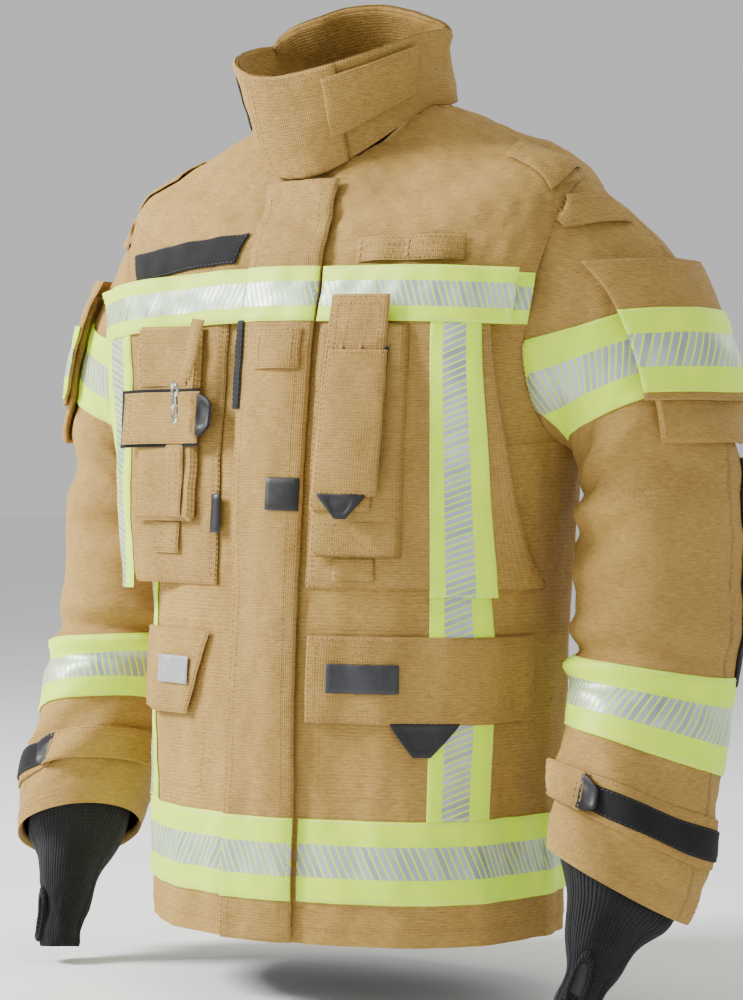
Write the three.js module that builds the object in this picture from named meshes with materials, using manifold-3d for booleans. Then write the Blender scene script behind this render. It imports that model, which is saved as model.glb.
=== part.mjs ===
// A firefighter's turnout coat, standing as if worn: shell, collar, pockets, trim, straps and hardware.
// Millimetres, +Z up. The front faces -Y, so the wearer's left is +X. Heights are measured from the hem,
// and the finished group is moved so that the hanger loop at the back of the neck is the origin.
import * as THREE from 'three';
import { mergeVertices } from 'three/addons/utils/BufferGeometryUtils.js';
import Module from 'manifold-3d';

// ---- Driving dimensions ---------------------------------------------------------------------------

const CLOTH = 3;            // thickness of one shell layer
const TRIM_WIDTH = 50;      // narrow reflective trim
const BAND_WIDTH = 75;      // wide reflective trim at the hem and on the sleeves
const HALF_TURN = Math.PI;
const QUARTER_TURN = Math.PI / 2;

// Rings of the body from the hem up to the neck seam. side, front and back are heights; width is half
// the width; chest and spine are the depths in front of and behind the middle plane.
const BODY_RINGS = [
  { side: 0, front: 0, back: 0, width: 206, chest: 160, spine: 150 },
  { side: 140, front: 140, back: 140, width: 203, chest: 154, spine: 148 },
  { side: 280, front: 280, back: 280, width: 207, chest: 148, spine: 150 },
  { side: 440, front: 430, back: 440, width: 228, chest: 137, spine: 158 },
  { side: 580, front: 545, back: 580, width: 254, chest: 124, spine: 160 },
  { side: 690, front: 622, back: 680, width: 256, chest: 110, spine: 140 },
  { side: 736, front: 662, back: 742, width: 170, chest: 93, spine: 108 },
  { side: 768, front: 700, back: 785, width: 89, chest: 80, spine: 76 },
];
const TOP_RING = BODY_RINGS.length - 1;
const ARMPIT_RING = 3.1;     // ring position of the bottom of the armhole
const SHOULDER_RING = 5.02;  // ring position of the top of the armhole
const ARMHOLE_ANGLE = 1.68;  // middle of the armhole about the body, in radians from the front
const ARMHOLE_SPREAD = 0.56; // half of the armhole's angle

// Rings of the collar, from the neck seam to its top edge.
const COLLAR_RINGS = [
  { side: 770, front: 702, back: 787, width: 89, chest: 80, spine: 76 },
  { side: 806, front: 745, back: 828, width: 96, chest: 98, spine: 42 },
  { side: 840, front: 794, back: 868, width: 105, chest: 117, spine: -3 },
];

// Rings of the left sleeve from the armhole to the wristlet's end: the outer and inner edge points
// (sideways place and height), the middle's depth, half the ring's depth and how high its front edge lifts.
const SLEEVE_RINGS = [
  { outerX: 258, outerZ: 692, innerX: 233, innerZ: 452, y: 20, deep: 80, lift: 0 },
  { outerX: 314, outerZ: 636, innerX: 246, innerZ: 436, y: 38, deep: 80, lift: 0 },
  { outerX: 354, outerZ: 556, innerX: 249, innerZ: 412, y: 44, deep: 80, lift: 0 },
  { outerX: 374, outerZ: 468, innerX: 246, innerZ: 388, y: 44, deep: 79, lift: 0 },
  { outerX: 388, outerZ: 380, innerX: 242, innerZ: 350, y: 42, deep: 77, lift: 0 },
  { outerX: 392, outerZ: 284, innerX: 244, innerZ: 292, y: 34, deep: 75, lift: 0 },
  { outerX: 391, outerZ: 194, innerX: 250, innerZ: 220, y: 12, deep: 72, lift: 14 },
  { outerX: 391, outerZ: 110, innerX: 259, innerZ: 152, y: -17, deep: 69, lift: 20 },
  { outerX: 386, outerZ: 44, innerX: 264, innerZ: 98, y: -40, deep: 65, lift: 22 },
  { outerX: 352, outerZ: -8, innerX: 284, innerZ: 6, y: -68, deep: 38, lift: 12 },
  { outerX: 339, outerZ: -52, innerX: 280, innerZ: -44, y: -90, deep: 31, lift: 8 },
];
const ELBOW_RING = 5;        // where the upper and lower sleeve meet
const CUFF_RING = 8.1;       // edge of the shell's cuff
const WRISTLET_RING = 10;    // end of the knitted wristlet
const HANGER_HEIGHT = 800;   // height of the hanger loop's middle above the hem
const HANGER_DEPTH = 40;     // how far behind the middle plane the hanger loop hangs

// ---- Materials ------------------------------------------------------------------------------------

const cloth = (color, roughness = 0.85) => new THREE.MeshStandardMaterial({ color, roughness, metalness: 0 });
const TAN = cloth('#b59766');
const TAN_DARK = cloth('#a3865a');
const YELLOW = cloth('#d6f042', 0.6);
const HOOK_LOOP = cloth('#17181b', 0.95);
const KNIT = cloth('#1b1e27', 0.9);
const LINING = cloth('#15161a', 0.5);
const RUBBER = cloth('#26272b', 0.6);
const LABEL = cloth('#8e9092', 0.5);
const METAL = new THREE.MeshStandardMaterial({ color: '#c9ccd0', roughness: 0.22, metalness: 1 });

// ---- Surfaces -------------------------------------------------------------------------------------

// Smooth value between the entries of a list, read at a fractional position.
function smoothRead(list, key, position) {
  const last = list.length - 1;
  const start = Math.min(Math.max(Math.floor(position), 0), last - 1);
  const at = (index) => list[Math.min(Math.max(index, 0), last)][key];
  const part = position - start;
  const before = at(start - 1);
  const here = at(start);
  const next = at(start + 1);
  const after = at(start + 2);
  const slopeHere = (next - before) / 2;
  const slopeNext = (after - here) / 2;
  const square = part * part;
  const cube = square * part;
  return here * (2 * cube - 3 * square + 1) + slopeHere * (cube - 2 * square + part)
    + next * (3 * square - 2 * cube) + slopeNext * (cube - square);
}

// Point on a stack of rings. angle is 0 at the front middle and a quarter turn at the wearer's left.
function ringPoint(rings, angle, level) {
  const read = (key) => smoothRead(rings, key, level);
  const sideways = Math.sin(angle);
  const forward = Math.cos(angle);
  const squareness = 2.25;
  const reach = (Math.abs(sideways) ** squareness + Math.abs(forward) ** squareness) ** (-1 / squareness);
  const depth = forward > 0 ? read('chest') : read('spine');
  const side = read('side');
  const end = forward > 0 ? read('front') : read('back');
  const z = side + (end - side) * Math.abs(forward) ** 1.6;
  return new THREE.Vector3(read('width') * reach * sideways, -depth * reach * forward, z);
}

const bodySurface = (angle, level) => ringPoint(BODY_RINGS, angle, level);
const collarSurface = (angle, level) => ringPoint(COLLAR_RINGS, angle, level);

// Point of the left armhole's edge: turn is 0 at the shoulder and a quarter turn at the front.
function armholePoint(turn) {
  const middle = (ARMPIT_RING + SHOULDER_RING) / 2;
  const half = (SHOULDER_RING - ARMPIT_RING) / 2;
  const angle = ARMHOLE_ANGLE - ARMHOLE_SPREAD * Math.sin(turn);
  return bodySurface(angle, middle + half * Math.cos(turn));
}

// Middle of a sleeve ring.
function sleeveMiddle(ring) {
  const read = (key) => smoothRead(SLEEVE_RINGS, key, ring);
  return new THREE.Vector3((read('outerX') + read('innerX')) / 2, read('y'), (read('outerZ') + read('innerZ')) / 2);
}

// Point on the left sleeve. turn is 0 at the outer side and a quarter turn at the front.
function sleeveSurface(turn, ring) {
  const read = (key) => smoothRead(SLEEVE_RINGS, key, ring);
  const middle = sleeveMiddle(ring);
  const halfX = (read('outerX') - read('innerX')) / 2;
  const halfZ = (read('outerZ') - read('innerZ')) / 2;
  const rise = halfZ * Math.cos(turn) + read('lift') * Math.sin(turn);
  const offset = new THREE.Vector3(halfX * Math.cos(turn), -read('deep') * Math.sin(turn), rise);
  const tube = middle.add(offset);
  const blend = THREE.MathUtils.smoothstep(ring, 0, 1.2);
  return armholePoint(turn).lerp(tube, blend);
}

// A surface point moved along the surface's outward normal. middle gives a point inside the surface.
function raised(surface, middle, u, v, height) {
  const step = 0.01;
  const point = surface(u, v);
  const across = surface(u + step, v).sub(surface(u - step, v));
  const along = surface(u, v + step).sub(surface(u, v - step));
  const normal = across.cross(along).normalize();
  const outward = point.clone().sub(middle(v));
  const turned = normal.dot(outward) < 0 ? -1 : 1;
  return point.addScaledVector(normal, turned * height);
}

const bodyMiddle = (level) => new THREE.Vector3(0, 0, smoothRead(BODY_RINGS, 'side', Math.min(level, 5)) - 40);
const collarMiddle = (level) => new THREE.Vector3(0, -20, smoothRead(COLLAR_RINGS, 'side', level) - 25);
const onBody = (angle, level, height) => raised(bodySurface, bodyMiddle, angle, level, height);
const onCollar = (angle, level, height) => raised(collarSurface, collarMiddle, angle, level, height);
const onSleeve = (turn, ring, height) => raised(sleeveSurface, sleeveMiddle, turn, ring, height);

// The angle and level of the front point with the given sideways place and height.
function frontSpot(x, z) {
  const step = 0.01;
  let angle = Math.asin(THREE.MathUtils.clamp(x / 250, -0.95, 0.95));
  let level = z / 140;
  for (let pass = 0; pass < 20; pass += 1) {
    const here = bodySurface(angle, level);
    const byAngle = bodySurface(angle + step, level).sub(here).divideScalar(step);
    const byLevel = bodySurface(angle, level + step).sub(here).divideScalar(step);
    const missX = x - here.x;
    const missZ = z - here.z;
    const scale = byAngle.x * byLevel.z - byAngle.z * byLevel.x;
    angle += (missX * byLevel.z - missZ * byLevel.x) / scale;
    level += (missZ * byAngle.x - missX * byAngle.z) / scale;
    angle = THREE.MathUtils.clamp(angle, -1.5, 1.5);
    level = THREE.MathUtils.clamp(level, 0, TOP_RING);
  }
  return { angle, level };
}

// The ring position at which the sleeve line of one turn passes a height.
function sleeveRingAt(turn, z) {
  let low = 0;
  let high = WRISTLET_RING;
  for (let pass = 0; pass < 24; pass += 1) {
    const middle = (low + high) / 2;
    if (sleeveSurface(turn, middle).z > z) {
      low = middle;
    } else {
      high = middle;
    }
  }
  return (low + high) / 2;
}

// The level at which the body line of one angle passes a height.
function bodyLevelAt(angle, z) {
  let low = 0;
  let high = TOP_RING;
  for (let pass = 0; pass < 24; pass += 1) {
    const middle = (low + high) / 2;
    if (bodySurface(angle, middle).z < z) {
      low = middle;
    } else {
      high = middle;
    }
  }
  return (low + high) / 2;
}

// ---- Solid builders -------------------------------------------------------------------------------

// Turns every face outward.
function facingOut(shape) {
  const spots = shape.attributes.position;
  const order = shape.index.array;
  const corner = (place) => new THREE.Vector3().fromBufferAttribute(spots, order[place]);
  let volume = 0;
  for (let face = 0; face < order.length; face += 3) {
    volume += corner(face).dot(corner(face + 1).cross(corner(face + 2)));
  }
  if (volume < 0) {
    for (let face = 0; face < order.length; face += 3) {
      const kept = order[face];
      order[face] = order[face + 1];
      order[face + 1] = kept;
    }
  }
  shape.computeVertexNormals();
  return shape;
}

// A closed sheet: place(s, t, height) gives its points for s and t from 0 to 1.
function bentSheet(place, columns, rows, inner, outer) {
  const shape = new THREE.BoxGeometry(1, 1, 1, columns, rows, 1);
  const spots = shape.attributes.position;
  for (let index = 0; index < spots.count; index += 1) {
    const height = spots.getZ(index) > 0 ? outer : inner;
    const point = place(spots.getX(index) + 0.5, spots.getY(index) + 0.5, height);
    spots.setXYZ(index, point.x, point.y, point.z);
  }
  return facingOut(shape);
}

// A closed tube wall: place(turn, t, height) gives its points for a whole turn and t from 0 to 1.
function bentTube(place, columns, rows, inner, outer) {
  const profile = [];
  for (let row = 0; row <= rows; row += 1) {
    profile.push(new THREE.Vector2(2, row / rows));
  }
  for (let row = rows; row >= 0; row -= 1) {
    profile.push(new THREE.Vector2(1, row / rows));
  }
  profile.push(profile[0].clone());
  const shape = new THREE.LatheGeometry(profile, columns);
  const spots = shape.attributes.position;
  for (let index = 0; index < spots.count; index += 1) {
    const sideways = spots.getX(index);
    const forward = spots.getZ(index);
    const height = Math.hypot(sideways, forward) > 1.5 ? outer : inner;
    const point = place(Math.atan2(sideways, forward), spots.getY(index), height);
    spots.setXYZ(index, point.x, point.y, point.z);
  }
  return facingOut(shape);
}

// A rectangular plate with rounded corners, flat in X and Z, with its front towards -Y.
function plate(width, height, depth, radius) {
  const outline = new THREE.Shape();
  const x = width / 2 - radius;
  const z = height / 2 - radius;
  outline.absarc(x, z, radius, 0, QUARTER_TURN);
  outline.absarc(-x, z, radius, QUARTER_TURN, HALF_TURN);
  outline.absarc(-x, -z, radius, HALF_TURN, 3 * QUARTER_TURN);
  outline.absarc(x, -z, radius, 3 * QUARTER_TURN, 2 * HALF_TURN);
  const shape = new THREE.ExtrudeGeometry(outline, { depth, bevelEnabled: false, curveSegments: 3 });
  shape.rotateX(QUARTER_TURN);
  return shape;
}

const group = new THREE.Group();
const coat = new THREE.Group();
coat.position.set(0, -HANGER_DEPTH, -HANGER_HEIGHT);
group.add(coat);

// Adds one named piece to the coat.
function piece(name, shape, material) {
  const mesh = new THREE.Mesh(shape, material);
  mesh.name = name;
  coat.add(mesh);
  return mesh;
}

// Mirrors a left-hand place function to the wearer's right.
const onSide = (side, place) => (s, t, height) => {
  const point = place(s, t, height);
  point.x *= side;
  return point;
};
const mix = THREE.MathUtils.lerp;

// A piece on the front of the body: corners are [x, z] for bottom left, bottom right, top right, top left.
function frontPiece(name, side, corners, columns, rows, inner, outer, material) {
  const [bottomLeft, bottomRight, topRight, topLeft] = corners;
  const place = (s, t, height) => {
    const x = mix(mix(bottomLeft[0], bottomRight[0], s), mix(topLeft[0], topRight[0], s), t);
    const z = mix(mix(bottomLeft[1], bottomRight[1], s), mix(topLeft[1], topRight[1], s), t);
    const spot = frontSpot(x, z);
    return onBody(spot.angle, spot.level, height);
  };
  return piece(name, bentSheet(onSide(side, place), columns, rows, inner, outer), material);
}

// A piece on the body between two angles and two heights.
function bodyPiece(name, side, angles, heights, columns, rows, inner, outer, material) {
  const place = (s, t, height) => {
    const angle = mix(angles[0], angles[1], s);
    return onBody(angle, bodyLevelAt(angle, mix(heights[0], heights[1], t)), height);
  };
  return piece(name, bentSheet(onSide(side, place), columns, rows, inner, outer), material);
}

// A piece on a sleeve between two turns and two heights.
function sleevePiece(name, side, turns, heights, columns, rows, inner, outer, material) {
  const place = (s, t, height) => {
    const turn = mix(turns[0], turns[1], s);
    return onSleeve(turn, sleeveRingAt(turn, mix(heights[0], heights[1], t)), height);
  };
  return piece(name, bentSheet(onSide(side, place), columns, rows, inner, outer), material);
}

// ---- Shell ----------------------------------------------------------------------------------------

const DEGREE = HALF_TURN / 180;
const LAST_LEVEL = TOP_RING - 0.12;

// The levels of the panels' grid lines, closest together round the armhole.
const ARMHOLE_STEPS = 9;
const LOW_STEPS = 7;
const HIGH_STEPS = 4;
function panelLevels() {
  const levels = [];
  for (let step = 0; step < LOW_STEPS; step += 1) {
    levels.push((ARMPIT_RING * step) / LOW_STEPS);
  }
  const middle = (ARMPIT_RING + SHOULDER_RING) / 2;
  const half = (SHOULDER_RING - ARMPIT_RING) / 2;
  for (let step = 0; step <= ARMHOLE_STEPS; step += 1) {
    levels.push(middle - half * Math.cos((HALF_TURN * step) / ARMHOLE_STEPS));
  }
  for (let step = 1; step <= HIGH_STEPS; step += 1) {
    levels.push(mix(SHOULDER_RING, LAST_LEVEL, step / HIGH_STEPS));
  }
  return levels;
}
const LEVELS = panelLevels();

// Half of the armhole's opening angle at one level, with the seam's clearance round it.
const ARMHOLE_CLEARANCE = 0.06;
function armholeHalf(level) {
  const middle = (ARMPIT_RING + SHOULDER_RING) / 2;
  const half = (SHOULDER_RING - ARMPIT_RING) / 2 + ARMHOLE_CLEARANCE;
  const share = (level - middle) / half;
  return Math.abs(share) < 1 ? (ARMHOLE_SPREAD + ARMHOLE_CLEARANCE) * Math.sqrt(1 - share * share) : 0;
}

const SEAM_GAP = 0.014; // angle left open along a seam between two panels
const SKIN_COLUMNS = 9;

// A body layer between two edge angles, each given as a function of the level.
function bodyLayer(name, side, from, to, columns, inner, outer, material) {
  const rows = LEVELS.length - 1;
  const place = (s, t, height) => {
    const level = LEVELS[Math.round(t * rows)];
    return onBody(mix(from(level), to(level), s), level, height);
  };
  return piece(name, bentSheet(onSide(side, place), columns, rows, inner, outer), material);
}
const frontEdge = () => 0.065;
const frontSide = (level) => ARMHOLE_ANGLE - armholeHalf(level) - SEAM_GAP;
const backSide = (level) => ARMHOLE_ANGLE + armholeHalf(level) + SEAM_GAP;
const farBackSide = (level) => 2 * HALF_TURN - backSide(level);
bodyLayer('front_left', 1, frontEdge, frontSide, SKIN_COLUMNS, 0, CLOTH, TAN);
bodyLayer('front_right', -1, frontEdge, frontSide, SKIN_COLUMNS, 0, CLOTH, TAN);
bodyLayer('back', 1, backSide, farBackSide, 2 * SKIN_COLUMNS, 0, CLOTH, TAN);
const liningEdge = () => 0.2;
const LINING_INNER = -12;
const LINING_OUTER = -9.5;
bodyLayer('lining_left', 1, liningEdge, frontSide, 7, LINING_INNER, LINING_OUTER, LINING);
bodyLayer('lining_right', -1, liningEdge, frontSide, 7, LINING_INNER, LINING_OUTER, LINING);
bodyLayer('lining_back', 1, backSide, farBackSide, 14, LINING_INNER, LINING_OUTER, LINING);

// ---- Collar ---------------------------------------------------------------------------------------

const COLLAR_TOP = COLLAR_RINGS.length - 1;
const COLLAR_WALL = 6;
function collarPiece(name, from, to, levels, columns, rows, inner, outer, material) {
  const place = (s, t, height) => onCollar(mix(from, to, s), mix(levels[0], levels[1], t), height);
  return piece(name, bentSheet(place, columns, rows, inner, outer), material);
}
collarPiece('collar', 0.08, 2 * HALF_TURN - 0.08, [0.06, COLLAR_TOP], 30, 4, 0, COLLAR_WALL, TAN);
collarPiece('collar_overlap', -0.38, 0.5, [0.1, COLLAR_TOP], 6, 4, 9, 12, TAN);
collarPiece('throat_tab', 0.42, 1.2, [0.75, 1.75], 6, 2, 14, 17, TAN);

const hanger = new THREE.CatmullRomCurve3([
  new THREE.Vector3(-34, 4, 12),
  new THREE.Vector3(-20, 1, 3),
  new THREE.Vector3(0, 0, 0),
  new THREE.Vector3(20, 1, 3),
  new THREE.Vector3(34, 4, 12),
]);
const hangerSection = new THREE.Shape();
hangerSection.absellipse(0, 0, 2, 4, 0, 2 * HALF_TURN);
const hangerShape = new THREE.ExtrudeGeometry(hangerSection, { steps: 16, extrudePath: hanger, curveSegments: 4 });
piece('hanger_loop', hangerShape, TAN_DARK).position.set(0, HANGER_DEPTH, HANGER_HEIGHT);

// ---- Front fastening ------------------------------------------------------------------------------

const FLAP_RIGHT = -38;
const FLAP_LEFT = 47;
const FLAP_TOP = 694;
const ZIP_BOTTOM = 12;
const ZIP_TOP = 686;
const across = (left, right, bottom, top) => [[left, bottom], [right, bottom], [right, top], [left, top]];
frontPiece('zip_tape_left', 1, across(4, 30, ZIP_BOTTOM, ZIP_TOP), 2, 18, -3.5, -2, LINING);
frontPiece('zip_tape_right', -1, across(4, 30, ZIP_BOTTOM, ZIP_TOP), 2, 18, -3.5, -2, LINING);
frontPiece('zip_teeth', 1, across(-3, 3, ZIP_BOTTOM, ZIP_TOP), 1, 22, -3.5, 1, METAL);
const SLIDER_HEIGHT = 640;
const sliderSpot = frontSpot(0, SLIDER_HEIGHT);
const sliderPlace = onBody(sliderSpot.angle, sliderSpot.level, 6);
const slider = piece('zip_slider', plate(9, 26, 3.5, 2), METAL);
slider.position.copy(sliderPlace);
slider.rotation.x = -0.42;

frontPiece('storm_flap', 1, across(FLAP_RIGHT, FLAP_LEFT, 0, FLAP_TOP), 4, 24, 14, 17.5, TAN);
frontPiece('storm_flap_loop', 1, across(-12, 42, 528, 558), 3, 2, 19.5, 21, TAN_DARK);
const CHEST_BAND_LOW = 570;
const CHEST_BAND_HIGH = CHEST_BAND_LOW + TRIM_WIDTH;
const HEM_BAND_LOW = 38;
const HEM_BAND_HIGH = HEM_BAND_LOW + BAND_WIDTH;
const flapBand = (low, high) => across(FLAP_RIGHT + 1, FLAP_LEFT - 1, low, high);
frontPiece('chest_band_flap', 1, flapBand(CHEST_BAND_LOW, CHEST_BAND_HIGH), 4, 2, 19.5, 21, YELLOW);
frontPiece('hem_band_flap', 1, flapBand(HEM_BAND_LOW, HEM_BAND_HIGH), 4, 2, 19.5, 21, YELLOW);

// ---- Reflective trim on the body --------------------------------------------------------------------

const TRIM_INNER = 6;
const TRIM_OUTER = 7.5;
const CHEST_BAND_START = 0.2;
const CHEST_BAND_END = 1.02;
for (const side of [1, -1]) {
  const hand = side > 0 ? 'left' : 'right';
  bodyPiece(`chest_band_${hand}`, side, [CHEST_BAND_START, CHEST_BAND_END], [CHEST_BAND_LOW, CHEST_BAND_HIGH],
    8, 2, TRIM_INNER, TRIM_OUTER, YELLOW);
  frontPiece(`front_trim_${hand}`, side, [[162, HEM_BAND_HIGH + 2], [196, HEM_BAND_HIGH + 2], [206, 566], [166, 566]],
    2, 18, TRIM_INNER, TRIM_OUTER, YELLOW);
}
const HEM_GAP = 0.25;
bodyPiece('hem_band', 1, [HEM_GAP, 2 * HALF_TURN - HEM_GAP], [HEM_BAND_LOW, HEM_BAND_HIGH],
  36, 2, TRIM_INNER, TRIM_OUTER, YELLOW);

// ---- Chest ----------------------------------------------------------------------------------------

const POCKET_LOW = 322;
const POCKET_HIGH = 566;
const PANEL_OUTER = 9;
frontPiece('name_panel', -1, across(50, 190, 625, 650), 6, 1, TRIM_INNER, TRIM_OUTER, HOOK_LOOP);
frontPiece('microphone_loop', 1, across(88, 186, 624, 641), 4, 1, TRIM_INNER, TRIM_OUTER, TAN_DARK);
for (const side of [1, -1]) {
  const hand = side > 0 ? 'left' : 'right';
  frontPiece(`chest_pocket_${hand}`, side, across(56, 158, POCKET_LOW, POCKET_HIGH), 4, 9, 5, PANEL_OUTER, TAN);
}

const radioCorners = [[64, 352], [142, 352], [148, 552], [66, 552]];
frontPiece('radio_pocket', 1, radioCorners, 3, 7, 11, 26, TAN);
const radioFlapCorners = [[71, 405], [127, 405], [138, 564], [80, 564]];
frontPiece('radio_flap', 1, radioFlapCorners, 3, 5, 29, 33, TAN_DARK);
frontPiece('radio_flap_pull', 1, [[88, 384], [108, 384], [120, 403], [76, 403]], 2, 1, 29.5, 32.5, RUBBER);

frontPiece('torch_holder', -1, across(80, 152, 380, 562), 3, 7, 11, 22, TAN);
frontPiece('torch_strap', -1, across(70, 156, 454, 498), 3, 2, 24, 27, TAN_DARK);
frontPiece('hook_webbing', -1, [[76, 508], [92, 512], [78, 562], [62, 560]], 1, 3, 29, 31, TAN_DARK);

// The snap hook hangs from the webbing: a barrel with a bent wire hook, and a gate that closes it.
const WIRE_RADIUS = 1.7;
const hookSpot = frontSpot(84, 488);
const hookPlace = onBody(hookSpot.angle, hookSpot.level, 37);
hookPlace.x *= -1;
const hookGroup = new THREE.Group();
hookGroup.position.copy(hookPlace);
hookGroup.rotation.z = -0.45;
coat.add(hookGroup);

const EYE_RADIUS = 6;
const EYE_HEIGHT = 12;
const BARREL_TOP = 6;
const BARREL_BOTTOM = -2;
const HOOK_RADIUS = 5.5;
const HOOK_HEIGHT = -13;
const GATE_RADIUS = 1.1;
const hookParts = [];
const barrel = new THREE.CylinderGeometry(3, 3.4, BARREL_TOP - BARREL_BOTTOM, 12);
barrel.rotateX(QUARTER_TURN);
barrel.translate(0, 0, (BARREL_TOP + BARREL_BOTTOM) / 2);
hookParts.push(barrel);
const eye = new THREE.TorusGeometry(EYE_RADIUS, WIRE_RADIUS, 8, 20);
eye.rotateX(QUARTER_TURN);
eye.translate(0, 0, EYE_HEIGHT);
hookParts.push(eye);
const wireSection = new THREE.Shape();
wireSection.absarc(0, 0, WIRE_RADIUS, 0, 2 * HALF_TURN);
const wirePoints = [new THREE.Vector3(-1, 0, BARREL_BOTTOM + 1), new THREE.Vector3(-4, 0, -5)];
for (let turn = 180; turn <= 350; turn += 34) {
  const bend = turn * DEGREE;
  wirePoints.push(new THREE.Vector3(HOOK_RADIUS * Math.cos(bend), 0, HOOK_HEIGHT + HOOK_RADIUS * Math.sin(bend)));
}
const wirePath = new THREE.CatmullRomCurve3(wirePoints);
hookParts.push(new THREE.ExtrudeGeometry(wireSection, { steps: 18, extrudePath: wirePath, curveSegments: 4 }));

const wasm = await Module();
wasm.setup();

// A boolean solid from a three.js shape.
function solid(shape) {
  const bare = shape.clone();
  bare.deleteAttribute('normal');
  bare.deleteAttribute('uv');
  const merged = mergeVertices(bare, 1e-4);
  return new wasm.Manifold(new wasm.Mesh({
    numProp: 3,
    vertProperties: Float32Array.from(merged.attributes.position.array),
    triVerts: Uint32Array.from(merged.index.array),
  }));
}

// One three.js shape from several overlapping ones.
function joined(shapes) {
  const whole = shapes.map(solid).reduce((sum, next) => sum.add(next)).getMesh();
  const shape = new THREE.BufferGeometry();
  shape.setAttribute('position', new THREE.BufferAttribute(Float32Array.from(whole.vertProperties), 3));
  shape.setIndex(new THREE.BufferAttribute(Uint32Array.from(whole.triVerts), 1));
  shape.computeVertexNormals();
  return shape;
}
const hook = new THREE.Mesh(joined(hookParts), METAL);
hook.name = 'snap_hook';
hookGroup.add(hook);
const gateShape = new THREE.CylinderGeometry(GATE_RADIUS, GATE_RADIUS, 7.5, 8);
gateShape.rotateX(QUARTER_TURN);
const gate = new THREE.Mesh(gateShape, METAL);
gate.name = 'snap_gate';
gate.position.set(4.6, 0, -7.2);
hookGroup.add(gate);

// ---- Shoulders and lower pockets ------------------------------------------------------------------

for (const side of [1, -1]) {
  const hand = side > 0 ? 'left' : 'right';
  const shoulderPlace = (s, t, height) => onBody(mix(1.25, 1.72, t), mix(5.1, 5.75, s), height);
  piece(`shoulder_tab_${hand}`, bentSheet(onSide(side, shoulderPlace), 3, 2, 5, 7.5), TAN_DARK);
  frontPiece(`lower_pocket_${hand}`, side, across(74, 184, 130, 272), 5, 5, -7, -3, LINING);
}

const FLAP_TOP_EDGE = 277;
const FLAP_LOW_EDGE = 202;
const FLAP_INNER = 11;
const FLAP_OUTER = 14;

// A lower pocket flap; slant moves the bottom corner at its front edge outwards, in radians.
function lowerFlap(name, side, slant) {
  const place = (s, t, height) => {
    const angle = mix(0.29 + slant * (1 - t), 1.55, s);
    return onBody(angle, bodyLevelAt(angle, mix(FLAP_LOW_EDGE, FLAP_TOP_EDGE, t)), height);
  };
  return piece(name, bentSheet(onSide(side, place), 10, 3, FLAP_INNER, FLAP_OUTER), TAN);
}
lowerFlap('lower_flap_left', 1, 0);
lowerFlap('lower_flap_right', -1, 0.14);
frontPiece('label_left', 1, across(80, 134, 230, 254), 3, 1, 16, 17.2, LABEL);
frontPiece('label_right', -1, across(80, 134, 230, 254), 3, 1, 16, 17.2, LABEL);
frontPiece('lower_flap_pull', 1, [[146, 178], [164, 178], [176, 199.5], [134, 199.5]], 2, 1, 11.2, 13.8, RUBBER);

// ---- Sleeves --------------------------------------------------------------------------------------

// A whole ring of a sleeve between two ring positions.
function sleeveRing(name, side, rings, columns, rows, inner, outer, material) {
  const place = (turn, t, height) => onSleeve(turn, mix(rings[0], rings[1], t), height);
  return piece(name, bentTube(onSide(side, place), columns, rows, inner, outer), material);
}

const SLEEVE_START = 0.22;
const ELBOW_GAP = 0.05;
const ARM_BAND_TURNS = [-2.3, 2.45]; // ends of the upper arm band, in radians about the sleeve
const ARM_BAND_LOW = 478;
const BAND_TILT = 26; // how much higher the arm band lies at the outer side than at the front, in mm
for (const side of [1, -1]) {
  const hand = side > 0 ? 'left' : 'right';
  const name = (base) => `${base}_${hand}`;
  sleeveRing(name('sleeve_upper'), side, [SLEEVE_START, ELBOW_RING - ELBOW_GAP], 20, 9, 0, CLOTH, TAN);
  sleeveRing(name('sleeve_lower'), side, [ELBOW_RING + ELBOW_GAP, CUFF_RING], 20, 7, 0, CLOTH, TAN);
  sleeveRing(name('wristlet'), side, [CUFF_RING - 0.9, WRISTLET_RING], 16, 7, -16, -11, KNIT);
  sleeveRing(name('forearm_band'), side, [5.42, 6.35], 20, 2, TRIM_INNER, TRIM_OUTER, YELLOW);
  const bandPlace = (s, t, height) => {
    const turn = mix(ARM_BAND_TURNS[0], ARM_BAND_TURNS[1], s);
    const z = mix(ARM_BAND_LOW, ARM_BAND_LOW + BAND_WIDTH, t) + BAND_TILT * Math.cos(turn);
    return onSleeve(turn, sleeveRingAt(turn, z), height);
  };
  piece(name('arm_band'), bentSheet(onSide(side, bandPlace), 16, 2, TRIM_INNER, TRIM_OUTER), YELLOW);
  sleevePiece(name('sleeve_pocket'), side, [-0.88, 1.03], [462, 591], 9, 5, 9.5, 15, TAN);
  sleevePiece(name('sleeve_flap'), side, [-1, 1.15], [492, 612], 9, 5, 18, 21, TAN);
  const strapPlace = (s, t, height) => {
    const turn = mix(1.65, 3.2, s);
    return onSleeve(turn, mix(6.78, 7.38, t), height);
  };
  piece(name('cuff_strap'), bentSheet(onSide(side, strapPlace), 7, 2, 6, 9.5), TAN);
}

export default group;
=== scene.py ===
# The turnout coat's looks: sewn cloth, reflective trim, stitching, hook-and-loop, knit and hardware,
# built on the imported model. Metres, in the model's own frame. Every layer is a patch of a garment surface.
import math

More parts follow.
